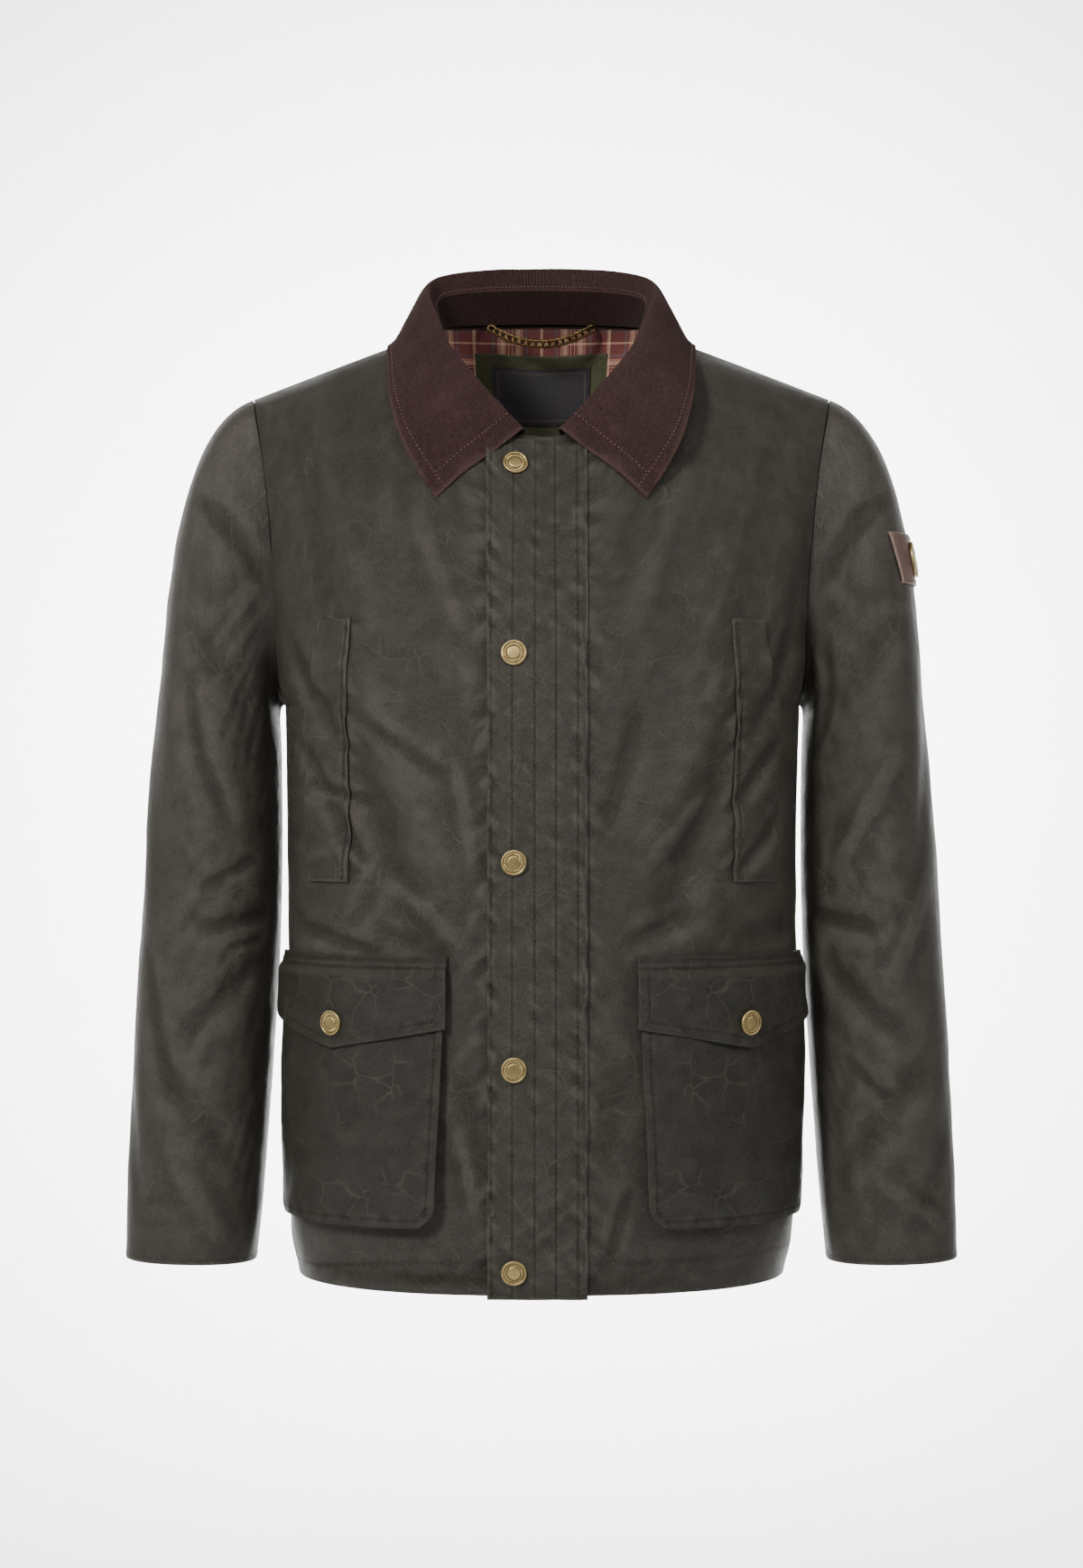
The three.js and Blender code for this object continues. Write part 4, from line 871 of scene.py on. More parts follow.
edge = FRONT_WIDTH - SEAM / 2
front_left = make_panel("front_left", True, SEAM / 2, edge, 2.1)
front_right = make_panel("front_right", True, -edge, -SEAM / 2, 2.1)
back_edge = BACK_WIDTH - SEAM / 2
back = make_panel("back", False, -back_edge, back_edge, 2.5)
for piece in (front_left, front_right, back):
    print(piece.name, len(piece.data.polygons), "quads")

# %% [markdown]
# ## Placket
#
# A strip of doubled cloth covers the opening, stitched down the wearer's left side and snapped
# on the right. Five lines of stitching run down it. Between them the cloth is drawn into short
# slanting puckers.


# %% Placket strip
PLACKET = dict(right=39.0, left=33.0, below=2.5, top=-96.0, corner_rise=9)
PLACKET_LIFT = SEAM + PLY + 0.3
PLACKET_LINES = (-36.6, -21.3, -4.8, 10.4, 26.4)


def placket_relief(d, level):
    height = np.zeros(d.shape)
    for k, line in enumerate(PLACKET_LINES):
        near = np.exp(-(((d - line) / 5.5) ** 2))
        ripple = cloth_noise(level + 0.5 * (d - line), 3.0 * k, 9.5, 70 + k)
        strong = 2.1 if k in (0, 4) else 1.0
        height += strong * near * ripple - 0.3 * np.exp(-(((d - line) / 0.9) ** 2))
    slant = cloth_noise(level * 0.9 - 0.8 * d, d * 0.25, 13, 80)
    return height + 1.1 * slant * smooth(-0.2, 0.5, cloth_noise(d, level, 45, 81))


def placket_cloth(d, level):
    # its top reaches under the collar, higher at both corners than in the middle
    top = PLACKET["top"] + PLACKET["corner_rise"] * smooth(22, 39, np.abs(d[:1]))
    low = HEM - PLACKET["below"]
    place = low + (level_at(d[:1], top, True) - low) * (level - HEM) / (TOP - HEM)
    return body_cloth(d, place, True, PLACKET_LIFT + placket_relief(d, place)) + (place,)


d, level = np.meshgrid(np.linspace(-PLACKET["right"], PLACKET["left"], 73), np.linspace(HEM, TOP, 401))
points, normals, place = placket_cloth(d, level)
placket = sewn_on("placket", points, normals, np.stack([d, place], -1), wax)

for line in PLACKET_LINES:
    high = float(level_at(np.array(line), PLACKET["top"], True)) - 3
    run = np.linspace(HEM - 1, high, 500)
    across = np.full_like(run, line)
    lift = PLACKET_LIFT + placket_relief(across, run)
    stitch_row("wax", *body_cloth(across, run, True, lift))
across = np.linspace(-36, 30, 60)
top_levels = level_at(across, PLACKET["top"] - 4, True)
stitch_row("wax", *body_cloth(across, top_levels, True, PLACKET_LIFT))
print("placket", len(placket.data.polygons), "quads")

# %% [markdown]
# ## Chest welts
#
# Behind each welt is a hand-warmer pocket that opens towards the arm. The welt is a folded
# strip, stitched down along its inner edge and across both ends, so it gapes a little and its
# cloth collapses into short horizontal folds.


# %% Welts
WELT = dict(inner=150.0, outer=192.0, bottom=WELT_BOTTOM, top=WELT_TOP, seam=153.5)
WELT_ENDS = (WELT_BOTTOM + 2.5, WELT_TOP - 2.5)


def make_welt(word, side):
    across, up = np.linspace(WELT["inner"], WELT["outer"], 34), np.linspace(WELT_BOTTOM, WELT_TOP, 110)
    d, level = np.meshgrid(across, up)
    free = smooth(WELT["inner"] + 4, WELT["outer"], d)
    ends = smooth(0, 22, level - WELT["bottom"]) * smooth(0, 22, WELT["top"] - level)
    seed = 90 if side > 0 else 95
    gape = 1.6 * free * ends * smooth(-0.2, 0.6, cloth_noise(level, 0 * d, 34, seed))
    wave = 1.5 * ends * cloth_noise(level + 0.25 * d, d * 0.12, 15, seed + 1) * (0.35 + 0.65 * free)
    pinch = 0.6 * np.exp(-(((d - WELT["seam"]) / 5) ** 2)) * cloth_noise(level, 0 * d, 6.5, seed + 2)
    groove = -0.4 * np.exp(-((d - WELT["seam"]) ** 2))
    bow = 2.5 * np.sin(np.pi * (level - WELT["bottom"]) / (WELT["top"] - WELT["bottom"])) * free
    lift = SEAM + PLY + 0.35 + gape + np.maximum(wave + pinch + groove, -0.3)
    points, normals = pattern_cloth(side * (d + bow), level, True, lift)
    uv = np.stack([d + 20, level], -1)
    made = sewn_on(f"chest_welt_{word}", points, normals, uv, wax, 5, flip=side < 0)
    on_top = SEAM + PLY + 0.4
    stitch_body(side * WELT["seam"], np.linspace(WELT_BOTTOM + 1, WELT_TOP - 1, 200), True, on_top)
    for at in WELT_ENDS:
        stitch_body(side * np.linspace(WELT["inner"] + 3, WELT["outer"] - 3, 40), at, True, on_top)
    beside = np.linspace(WELT["inner"] - 18, WELT["inner"] - 1, 20)
    stitch_body(side * beside, WELT_BOTTOM + 1, True, 0.1)
    return made


welts = [make_welt("left", 1), make_welt("right", -1)]
print([len(w.data.polygons) for w in welts])

# %% [markdown]
# ## Bellows pockets
#
# A bellows pocket is a flat front joined to the jacket by a folded strip, the gusset, so that it
# can swell. It stands furthest off at the bottom. A line of stitching follows the front's
# edges, and its lower corners are rounded.

# %% Pocket shape
POCKET = dict(inner=72.0, outer=242.0, top=-496.0, bottom=-677.0, corner=18.0, lean=5.0, seam=5.5)


def pocket_stand(d, level):
    down = smooth(POCKET["top"], POCKET["bottom"], level)
    side = smooth(157, POCKET["outer"], np.abs(d))
    return lerp(lerp(5.5, 12.5, down), 6.5, side * down)


def pocket_edges(level, inset=0.0):
    corner = POCKET["corner"]
    up = np.clip(level - (POCKET["bottom"] + inset), 0, corner)
    rounding = corner - np.sqrt(corner ** 2 - (corner - up) ** 2)
    lean = POCKET["lean"] * smooth(POCKET["top"], POCKET["bottom"], level)
    return POCKET["inner"] + lean + inset + rounding, POCKET["outer"] - inset - rounding


def pocket_relief(d, level, seed):
    sag = 1.6 * cloth_noise(d, level, 52, seed)
    sag = sag + 0.9 * cloth_noise(d + level * 0.4, level, 21, seed + 1)
    inner, outer = pocket_edges(level)
    edge = np.minimum(np.minimum(d - inner, outer - d), level - POCKET["bottom"])
    calm = smooth(0, 22, edge)
    along = np.where(edge == level - POCKET["bottom"], d, level)
    pucker = 0.7 * np.exp(-(((edge - 6) / 5) ** 2)) * cloth_noise(along, edge * 0.3, 8, seed + 4)
    groove = -0.3 * np.exp(-(((edge - POCKET["seam"]) / 0.9) ** 2))
    return np.clip(sag * calm + pucker + groove, -1.2, 1.9)


def pocket_cloth(side, d, level, seed, lift=0.0):
    height = pocket_stand(d, level) + pocket_relief(d, level, seed) + lift
    return pattern_cloth(side * d, level, True, height)


# %% Pocket fronts and gussets
def make_pocket(word, side):
    seed = 120 if side > 0 else 130
    corner = POCKET["corner"]
    arc = POCKET["bottom"] + corner * (1 - np.cos(np.linspace(0, np.pi / 2, 16)))
    rows = np.concatenate([arc[:-1], np.linspace(POCKET["bottom"] + corner, POCKET["top"], 92)])
    inner, outer = pocket_edges(rows)
    share = np.linspace(0, 1, 97)
    d = inner[:, None] + (outer - inner)[:, None] * share
    level = np.broadcast_to(rows[:, None], d.shape)
    points, normals = pocket_cloth(side, d, level, seed)
    uv = np.stack([d, level + 300], -1)
    front = sewn_on(f"pocket_front_{word}", points, normals, uv, wax_shaded, 4, flip=side < 0)
    line = pocket_outline(POCKET["seam"])
    stitch_row("wax", *pocket_cloth(side, *line.T, seed, 0.1))
    return front, make_gusset(word, side, seed)


def pocket_outline(inset):
    rows = np.linspace(POCKET["top"], POCKET["bottom"] + POCKET["corner"], 60)
    corner = POCKET["corner"] - inset
    centre_level = POCKET["bottom"] + POCKET["corner"]
    inner, outer = pocket_edges(rows)
    angles = np.linspace(0, np.pi / 2, 14)[1:]
    left = [(a + inset, b) for a, b in zip(inner, rows)]
    cx = inner[-1] + POCKET["corner"]
    left += [(cx - corner * math.cos(t), centre_level - corner * math.sin(t)) for t in angles]
    cx = outer[-1] - POCKET["corner"]
    right = [(cx + corner * math.cos(t), centre_level - corner * math.sin(t)) for t in angles[::-1]]
    right += [(a - inset, b) for a, b in zip(outer[::-1], rows[::-1])]
    gap = np.linspace(left[-1][0], right[0][0], 60)[1:-1]
    bottom = [(a, left[-1][1]) for a in gap]
    return np.array(left + bottom + right)


def make_gusset(word, side, seed):
    line = pocket_outline(1.2)
    a, b = np.roll(line, 1, 0), np.roll(line, -1, 0)
    a[0], b[-1] = line[0], line[-1]
    run = unit(b - a)
    inward = np.stack([-run[:, 1], run[:, 0]], -1)
    heights = np.linspace(0, 1, 9)
    folded = 2.2 * np.sin(np.pi * heights)
    d = line[:, None, 0] + inward[:, None, 0] * folded
    level = line[:, None, 1] + inward[:, None, 1] * folded
    reach = pocket_stand(*line.T) - PLY + pocket_relief(*line.T, seed)
    lift = lerp(0.2, reach[:, None], heights[None])
    points, normals = pattern_cloth(side * d, level, True, lift)
    span = run_along(points[:, 0])[:, None]
    uv = np.stack(np.broadcast_arrays(span, heights * 12), -1)
    even = np.zeros(d.shape)
    return sheet(f"pocket_gusset_{word}", points, uv, wax_shaded, flip=side > 0, rub_and_shade=even)


pockets = [make_pocket("left", 1), make_pocket("right", -1)]
print([len(p.data.polygons) for pair in pockets for p in pair])

# %% [markdown]
# ## Pocket flaps
#
# The flap is set into a seam above the pocket, where a raised, turned edge shows as a narrow
# band. It drops to a blunt point that carries the snap, and it lies over the pocket's mouth.

# %% Flaps
FLAP = dict(inner=70.0, point=157.0, outer=244.0, top=-480.0, seam=6.5, band=7.5)
FLAP_DROPS = (-531.0, -547.0, -527.0)


def flap_drop(d):
    inner, point, outer = FLAP["inner"], FLAP["point"], FLAP["outer"]
    left = lerp(FLAP_DROPS[0], FLAP_DROPS[1], (d - inner) / (point - inner))
    right = lerp(FLAP_DROPS[1], FLAP_DROPS[2], (d - point) / (outer - point))
    return np.where(d < point, left, right)


def flap_cloth(side, d, level, seed, lift=0.0):
    over = smooth(POCKET["top"] + 2, FLAP["top"] - 1, level)
    drop = flap_drop(d)
    edge = np.minimum(np.minimum(d - FLAP["inner"], FLAP["outer"] - d), level - drop)
    stand = pocket_stand(d, np.minimum(level, POCKET["top"])) + 2.4
    ridge = 1.0 * smooth(FLAP["top"] - 7, FLAP["top"] - 5.5, level)
    groove = -0.3 * np.exp(-((level - FLAP["top"] + FLAP["band"]) ** 2))
    wave = 1.5 * cloth_noise(d, level, 34, seed) * smooth(0, 18, FLAP["top"] - level)
    curl = 1.1 * smooth(20, 0, level - drop) * (0.5 + 0.5 * cloth_noise(d, 0 * d, 26, seed + 1))
    along = np.where(edge == level - drop, d, level)
    pucker = 0.65 * np.exp(-(((edge - 6) / 5) ** 2)) * cloth_noise(along, edge * 0.3, 8, seed + 2)
    lines = -0.3 * np.exp(-(((edge - FLAP["seam"]) / 0.9) ** 2))
    height = lerp(stand, 2.6, over) + ridge + groove + np.clip(wave + curl + pucker + lines, -0.6, 2.2)
    return pattern_cloth(side * d, level, True, height + lift)


def make_flap(word, side):
    seed = 150 if side > 0 else 160
    d = np.broadcast_to(np.linspace(FLAP["inner"], FLAP["outer"], 101), (44, 101))
    level = lerp(FLAP["top"], flap_drop(d), np.linspace(0, 1, 44)[:, None])
    points, normals = flap_cloth(side, d, level, seed)
    uv = np.stack([d + 5, level + 150], -1)
    flap = sewn_on(f"pocket_flap_{word}", points, normals, uv, wax_shaded, 5, flip=side > 0)
    inset = FLAP["seam"]
    a = np.linspace(FLAP["inner"] + inset, FLAP["outer"] - inset, 160)
    stitch_row("wax", *flap_cloth(side, a, flap_drop(a) + inset, seed, 0.05))
    for at in (FLAP["inner"] + inset, FLAP["outer"] - inset):
        b = np.linspace(float(flap_drop(np.array(at))) + inset, FLAP["top"] - 9, 40)
        stitch_row("wax", *flap_cloth(side, np.full(40, at), b, seed, 0.05))
    a = np.linspace(FLAP["inner"] + 2, FLAP["outer"] - 2, 160)
    stitch_row("wax", *flap_cloth(side, a, np.full(160, FLAP["top"] - FLAP["band"]), seed, 0.05))
    return flap, seed


flaps = {word: make_flap(word, side) for word, side in (("left", 1), ("right", -1))}
print({word: len(f[0].data.polygons) for word, f in flaps.items()})

# %% [markdown]
# ## Sleeves
#
# A sleeve is a tube set into the armhole. Its cap leaves the shoulder nearly level and turns
# down over the arm, and under the arm it is short, so the spare cloth breaks into creases that
# run from the shoulder towards the armpit. Below the elbow the folds lie slantwise and soft.

# %% Armhole seam
CUFF, BICEP, GIRTH = -715.0, -332.0, 370.0
# level, outer edge, inner edge, middle from front to back, half the depth
SLEEVE = np.array([
    (CUFF, 318.5, 218.5, -22, 42), (-669, 317.8, 214.5, -14, 46), (-601, 316, 210, -6, 51),
    (-534, 313, 206, 0, 55), (-467, 309, 202.8, 4, 60), (-400, 305, 201.8, 6, 64),
    (BICEP, 299.5, 202.2, 6, 68)])
# turn round the armhole, pull outward, pull forward, pull upward, pull where it meets the tube
CAP = np.array([
    (-0.125, 130, -24, -78, 190), (0, 200, 0, -70, 240), (0.125, 130, 24, -78, 190), (0.25, 60, 18, -62, 120),
    (0.375, 34, 10, -30, 80), (0.5, 22, 0, 14, 60), (0.625, 34, -10, -30, 80), (0.75, 60, -18, -62, 120),
    (0.875, 130, -24, -78, 190), (1, 200, 0, -70, 240), (1.125, 130, 24, -78, 190)])
sleeve_outer, sleeve_inner, sleeve_y, sleeve_deep = table_curves(SLEEVE)
cap_out, cap_ahead, cap_up, cap_land = table_curves(CAP)


def armhole_half(front):
    level = ARMPIT + DEPTH * (1 - np.arange(91) / 90)
    points, normals = body_cloth(panel_edge(level, front), level, front)
    return points, normals, run_along(points)


armhole_halves = [armhole_half(True), armhole_half(False)]


def armhole_at(turn):
    t = np.mod(turn, 1.0)
    found = []
    for (points, normals, run), share in zip(armhole_halves, (t * 2, (1 - t) * 2)):
        at = share * run[-1]
        found.append((read_along(run, points, at), unit(read_along(run, normals, at))))
    first = (t <= 0.5)[..., None]
    return np.where(first, found[0][0], found[1][0]), np.where(first, found[0][1], found[1][1])


def seam_outward(turn):
    along = armhole_at(turn + 0.01)[0] - armhole_at(turn - 0.01)[0]
    out = unit(np.cross(along, armhole_at(turn)[1]))
    return np.where(out[..., :1] < 0, -out, out)


# %% Sleeve surface and folds
def sleeve_ring(turn, level):
    c, s = np.cos(2 * np.pi * turn), np.sin(2 * np.pi * turn)
    outer, inner = sleeve_outer(level), sleeve_inner(level)
    middle, half = (outer + inner) / 2, (outer - inner) / 2
    across = half * np.sign(c) * np.abs(c) ** (2 / 2.2)
    ahead = sleeve_deep(level) * np.sign(s) * np.abs(s) ** (2 / 2.2)
    return vectors(middle + across, sleeve_y(level) - ahead, level + 0.02 * across)


def sleeve_surface(turn, down):
    turn, down = np.broadcast_arrays(np.asarray(turn, float), np.asarray(down, float))
    t = np.mod(turn, 1.0)
    tube = sleeve_ring(t, lerp(BICEP, CUFF, np.maximum(down, 1) - 1))
    start = armhole_at(t)[0] + seam_outward(t) * 0.8
    leave = vectors(cap_out(t), -cap_ahead(t), cap_up(t))
    ring = sleeve_ring(t, np.full(t.shape, BICEP))
    drift = (sleeve_ring(t, np.full(t.shape, BICEP - 10)) - ring) * (cap_land(t) / 10)[..., None]
    cap = cubic(start, ring, leave, drift, np.minimum(down, 1))
    return np.where((down >= 1)[..., None], tube, cap)


# from turn, from height, to turn, to height, width, depth
SLEEVE_FOLDS = [
    (0.05, -126, 0.33, -212, 9, -4.4), (0.12, -226, 0.38, -306, 13, -3), (0.42, -452, 0.24, -462, 9, -3.2),
    (0.38, -486, 0.2, -548, 12, -3), (0.16, -560, 0.34, -640, 14, -2.6), (0.58, -440, 0.84, -470, 13, -4),
    (0.6, -500, 0.86, -530, 13, -3.4), (0.92, -230, 0.7, -330, 16, -3.6)]
FINE_SLEEVE_FOLDS = {
    1: [
        (0.2, -330, 0.34, -420, 8, 1.6), (0.03, -260, 0.14, -420, 12, -1.6), (0.12, -420, 0.26, -520, 9, 1.5),
        (0.3, -240, 0.4, -330, 7, -1.8), (0.08, -600, 0.22, -700, 12, -1.4),
        (0.34, -560, 0.22, -600, 7, -1.2), (0.28, -655, 0.12, -690, 8, 1.0),
        (0.65, -380, 0.9, -400, 10, 1.6), (0.7, -600, 0.9, -640, 12, -1.8)],
    -1: [
        (0.16, -262, 0.3, -392, 9, -1.8), (0.04, -300, 0.1, -470, 11, 1.4), (0.36, -410, 0.24, -432, 6, -1.6),
        (0.4, -470, 0.3, -476, 5, -1.5), (0.1, -470, 0.2, -590, 10, -1.6), (0.2, -620, 0.32, -700, 10, 1.2),
        (0.02, -560, 0.12, -680, 11, -1.3), (0.62, -360, 0.86, -384, 9, -1.6),
        (0.66, -580, 0.88, -610, 12, 1.8)]}


def sleeve_cloth(turn, down, lift=0.0, side=1):
    safe = np.clip(down, 0.01, 1.999)
    normal = normal_of(sleeve_surface, turn, safe, 0.004, 1)
    point = sleeve_surface(turn, down)
    t, z = np.mod(turn, 1.0), point[..., 2]
    folds = SLEEVE_FOLDS + FINE_SLEEVE_FOLDS[side]
    height = 1.4 * sum(fold_height(folds, t + k, z, GIRTH) for k in (-1, 0, 1))
    seed = 200 if side > 0 else 220
    wrap = 0.5 + 0.5 * np.cos(2 * np.pi * t)
    round_u = GIRTH * 0.5 * np.sin(2 * np.pi * t) / np.pi + 150 * wrap
    height = height + 1.7 * cloth_noise(round_u, z * 0.35, 46, seed)
    height = height + 0.6 * cloth_noise(round_u, z, 24, seed + 1)
    height = height + 0.45 * cloth_noise(round_u + z * 0.5, z * 0.4, 12, seed + 2) * smooth(
        0, 0.6, cloth_noise(round_u, z, 60, seed + 3))
    height = height * smooth(0.03, 0.25, down) * (1 - smooth(1.93, 1.99, down))
    height = height * (1 - 0.85 * smooth(0.12, 0.02, np.abs(t - 0.5)))
    return point + normal * (height + lift)[..., None], normal


# %% Sleeves
def make_sleeve(word, side):
    turns = np.linspace(0, 1, 150, endpoint=False)
    downs = np.concatenate([np.linspace(0, 1, 105)[:-1], np.linspace(1, 2, 160)])
    turn, down = np.meshgrid(turns, downs)
    points, normals = sleeve_cloth(turn, down, 0.0, side)
    front_run = run_along(points[:, 37])
    uv = np.stack(np.meshgrid(np.linspace(0, GIRTH, 151), -front_run), -1)
    wide = [np.concatenate([g, g[:, :1]], 1) for g in (points, normals)]
    points, normals, uv = turn_under(*wide, uv, SHELL, 24, False)
    mirror = np.array([side, 1, 1])
    points, normals = points * mirror, normals * mirror
    rub_and_shade = ridge_rub_and_shade(points, normals)[:, :-1]
    points = points[:, :-1]
    made = sheet(f"sleeve_{word}", points, uv, wax, flip=side > 0, tube=True, rub_and_shade=rub_and_shade)
    line, facing = sleeve_cloth(np.linspace(0, 1, 200), np.full(200, 1.992), 0.05, side)
    stitch_row("wax", line * mirror, facing * mirror)
    return made


sleeves = [make_sleeve("left", 1), make_sleeve("right", -1)]
print([len(s.data.polygons) for s in sleeves])

# %% [markdown]
# ## Collar
#
# The collar stands up inside the neck, rolls over and falls on the shoulders. Leaf and stand
# are cut apart and joined by a line of stitching on the inside. The cords of the corduroy run
# across it, so they stand upright at the back of the neck and slant down over each leaf.

# %% Collar tables
CORDUROY, ROLL, STAND_GAP = 2.4, 4.2, 1.35
LEAF_LIFT = CORDUROY + 0.3
# place from the front end (0) to the middle of the back (1), turn of the neck seam,
# the crest's x, y, z, the edge's x, y, z, and how much of the inside is the stand
COLLAR = np.array([
    (0, 0.066, 15.5, -86, -87.5, 77, -98, -141, 0), (0.1, 0.135, 33, -80, -67, 92, -96, -118, 0.1),
    (0.22, 0.235, 53, -69, -43, 105, -88, -92, 0.3), (0.35, 0.335, 70, -50, -19, 114, -66, -60, 0.45),
    (0.48, 0.43, 81, -24, 8, 117, -36, -33.5, 0.5), (0.6, 0.52, 88, 4, 31, 117, 4, -14.5, 0.5),
    (0.73, 0.65, 81, 32, 46, 101, 46, -10, 0.5), (0.86, 0.81, 50, 56, 55.5, 62, 80, -12, 0.5),
    (1, 1, 0, 65, 58.5, 0, 94, -14, 0.5), (1.14, 1.19, -50, 56, 55.5, -62, 80, -12, 0.5)])
seam_turn, *collar_xyz, stand_share = table_curves(COLLAR)
crest_at = lambda q: vectors(*(read(q) for read in collar_xyz[:3]))
edge_at = lambda q: vectors(*(read(q) for read in collar_xyz[3:]))

# %% Laying the leaf on the shoulders
d, level = np.meshgrid(np.arange(0, 201, 4.0), np.arange(TOP, ARMPIT + 40, -4.0))
shoulders = [body_cloth(d, level, front) for front in (True, False)]
cloud_points, cloud_normals = (np.concatenate(pair).reshape(-1, 3) for pair in zip(*shoulders))
cloud = KDTree(len(cloud_points))
for k, p in enumerate(cloud_points):
    cloud.insert(p, k)
cloud.balance()

NEIGHBOURS, BLUR, EASE = 6, 4, 7


def laid_on_body(points, lift):
    # a point that would sink into the shoulders is raised, and the change sets in softly
    flat = points.reshape(-1, 3)
    out = np.empty_like(flat)
    for k, p in enumerate(flat):
        found = cloud.find_n(p, NEIGHBOURS)
        ids = [f[1] for f in found]
        weight = 1 / (np.array([f[2] for f in found]) ** 2 + BLUR)
        weight = weight / weight.sum()
        normal = (cloud_normals[ids] * weight[:, None]).sum(0)
        normal /= np.linalg.norm(normal)
        height = (((p - cloud_points[ids]) @ normal) * weight).sum()
        need = lift - height
        out[k] = p + normal * (need + math.sqrt(need * need + EASE)) / 2
    return out.reshape(points.shape)


def collar_surface(q, across):
    q, across = np.broadcast_arrays(np.asarray(q, float), np.asarray(across, float))
    crest, edge = crest_at(q), edge_at(q)
    outward = edge - crest
    along = crest_at(np.minimum(q + 0.01, 1)) - crest_at(np.maximum(q - 0.01, 0))
    along = np.where((q > 0.99)[..., None], np.array([-1.0, 0, 0]), along)
    outward[..., 2] = 0
    outward = outward - along * ((outward * along).sum(-1) / (along ** 2).sum(-1))[..., None]
    outward = unit(outward)
    foot = neck_seam(seam_turn(q)) - outward * (CORDUROY + STAND_GAP)
    foot[..., 2] += STAND_GAP
    up = (crest - outward * ROLL - foot) * 0.9
    inside = cubic(foot, crest, up, outward * ROLL * 2.4, np.minimum(across, 1))
    outside = cubic(crest, edge, outward * ROLL * 6, (edge - crest) * 0.9, np.maximum(across, 1) - 1)
    return np.where((across <= 1)[..., None], inside, outside)


def collar_grid(q, across):
    flat = collar_surface(q, across)
    if (across > 1).any():
        laid = laid_on_body(flat, LEAF_LIFT)
        weight = smooth(1.12, 1.35, across)[..., None]
        flat = flat + (laid - flat) * weight
    return flat, unit(np.cross(np.gradient(flat, axis=1), np.gradient(flat, axis=0)))


# %% Collar leaf and stand
def collar_uv(points, q):
    steps = np.linalg.norm(np.diff(points, axis=0), axis=-1)
    v = np.concatenate([np.zeros((1, points.shape[1])), np.cumsum(steps, 0)])
    fine = np.linspace(0, 1, 400)
    run = run_along(crest_at(fine))
    return np.stack([run[-1] - np.interp(q, fine, run), v], -1)


def collar_piece(low, across_range, rows, columns):
    # one half is worked out and mirrored, from one front end round the neck to the other
    q = np.linspace(1, low, columns)
    start, end = across_range(q)
    across = start + (end - start) * np.linspace(0, 1, rows)[:, None]
    grid_q = np.broadcast_to(q, across.shape)
    points, normals = collar_grid(grid_q, across)
    normals[:, 0, 0] = 0
    normals[:, 0] = unit(normals[:, 0])
    uv = collar_uv(points, grid_q)
    mirrored = ((points, (-1, 1, 1)), (normals, (-1, 1, 1)), (uv, (-1, 1)))
    return [np.concatenate([(half * flip)[:, :0:-1], half], 1) for half, flip in mirrored]


LEAF_ROWS = 70
leaf_range = lambda q: (stand_share(q), np.full(q.shape, 2.0))
points, normals, uv = collar_piece(0, leaf_range, LEAF_ROWS, 110)
leaf_lines = [(points[-5], normals[-5])] + [(points[30:-4, k], normals[30:-4, k]) for k in (6, -7)]
seam_line, seam_facing = points[2, 24:-24], normals[2, 24:-24]
relief = 0.25 * cloth_noise(uv[..., 0], uv[..., 1], 16, 300) * smooth(60, 50, np.arange(LEAF_ROWS))[:, None]
points, normals, uv = turned(points + normals * relief[..., None], normals, uv, CORDUROY, "btlr", 9)
leaf = sheet("collar_leaf", points, uv, corduroy, rub_and_shade=ridge_rub_and_shade(points, normals))
for line, facing in leaf_lines:
    stitch_row("collar", line + facing * 0.1, facing, 3.4, 2.3, 0.75, 0.45)
stitch_row("collar", seam_line + seam_facing * 0.1, seam_facing, 3.0, 2.2, 0.7, 0.4)

stand_range = lambda q: (np.zeros(q.shape), stand_share(q) + 0.03)
points, normals, uv = collar_piece(0.16, stand_range, 20, 80)
points, normals, uv = turned(points - normals * 0.9, normals, uv, 1.3, "b", 3)
# the stand is painted darker, as shade
stand = sheet("collar_stand", points, uv, corduroy_against, rub_and_shade=ridge_rub_and_shade(points, normals))
print("collar", len(leaf.data.polygons), len(stand.data.polygons))

# %% [markdown]
# ## Inside the neck
#
# Through the neck shows the check lining of the back, with a patch of olive shell cloth sewn
# over it and a woven label on the patch. The label is left bare, with a plain woven border. A
# short brass chain hangs the jacket from a hook.


# %% Lining, patch and label
LINING_DEPTH = SHELL + SEAM + 1.0
PATCH = dict(half=50, low=-72, high=-8, depth=LINING_DEPTH + 1.3)
LABEL = dict(half=39, low=-61, high=-17, depth=LINING_DEPTH + 2.6)


def inside_sheet(name, half, columns, levels, depth, material, relief, sides="", border=None):
    d, level = np.meshgrid(np.linspace(-half, half, columns), levels)
    points, normals = pattern_cloth(d, level, False, -depth)
    run = run_along(points[:, columns // 2])[:, None] + 0 * d
    uv = np.stack([d, run], -1)
    points = points + normals * (relief * cloth_noise(d, level, 30, 400))[..., None]
    if sides:
        points, _, uv = turned(points, -normals, uv, 1.0, sides, 3)
    rub_and_shade = border(d, run) if border else np.zeros(points.shape[:2])
    return sheet(name, points, uv, material, rub_and_shade=rub_and_shade)


rows = np.concatenate([np.arange(HEM + 28, ARMPIT, 6.0), np.linspace(ARMPIT, TOP - SEAM, 80)])
lining = inside_sheet(
    "back_lining", back_edge, 140, rows, LINING_DEPTH, check_lining, 0.3)


def height_rows(low, high, count):
    a, b = (float(level_at(np.array(0.0), h, False)) for h in (low, high))
    return np.linspace(a, b, count)


def label_border(d, run):
    edge = np.minimum(LABEL["half"] - np.abs(d), np.minimum(run, run[-1] - run))
    return ((edge > 3.2) & (edge < 4.4)).astype(float)


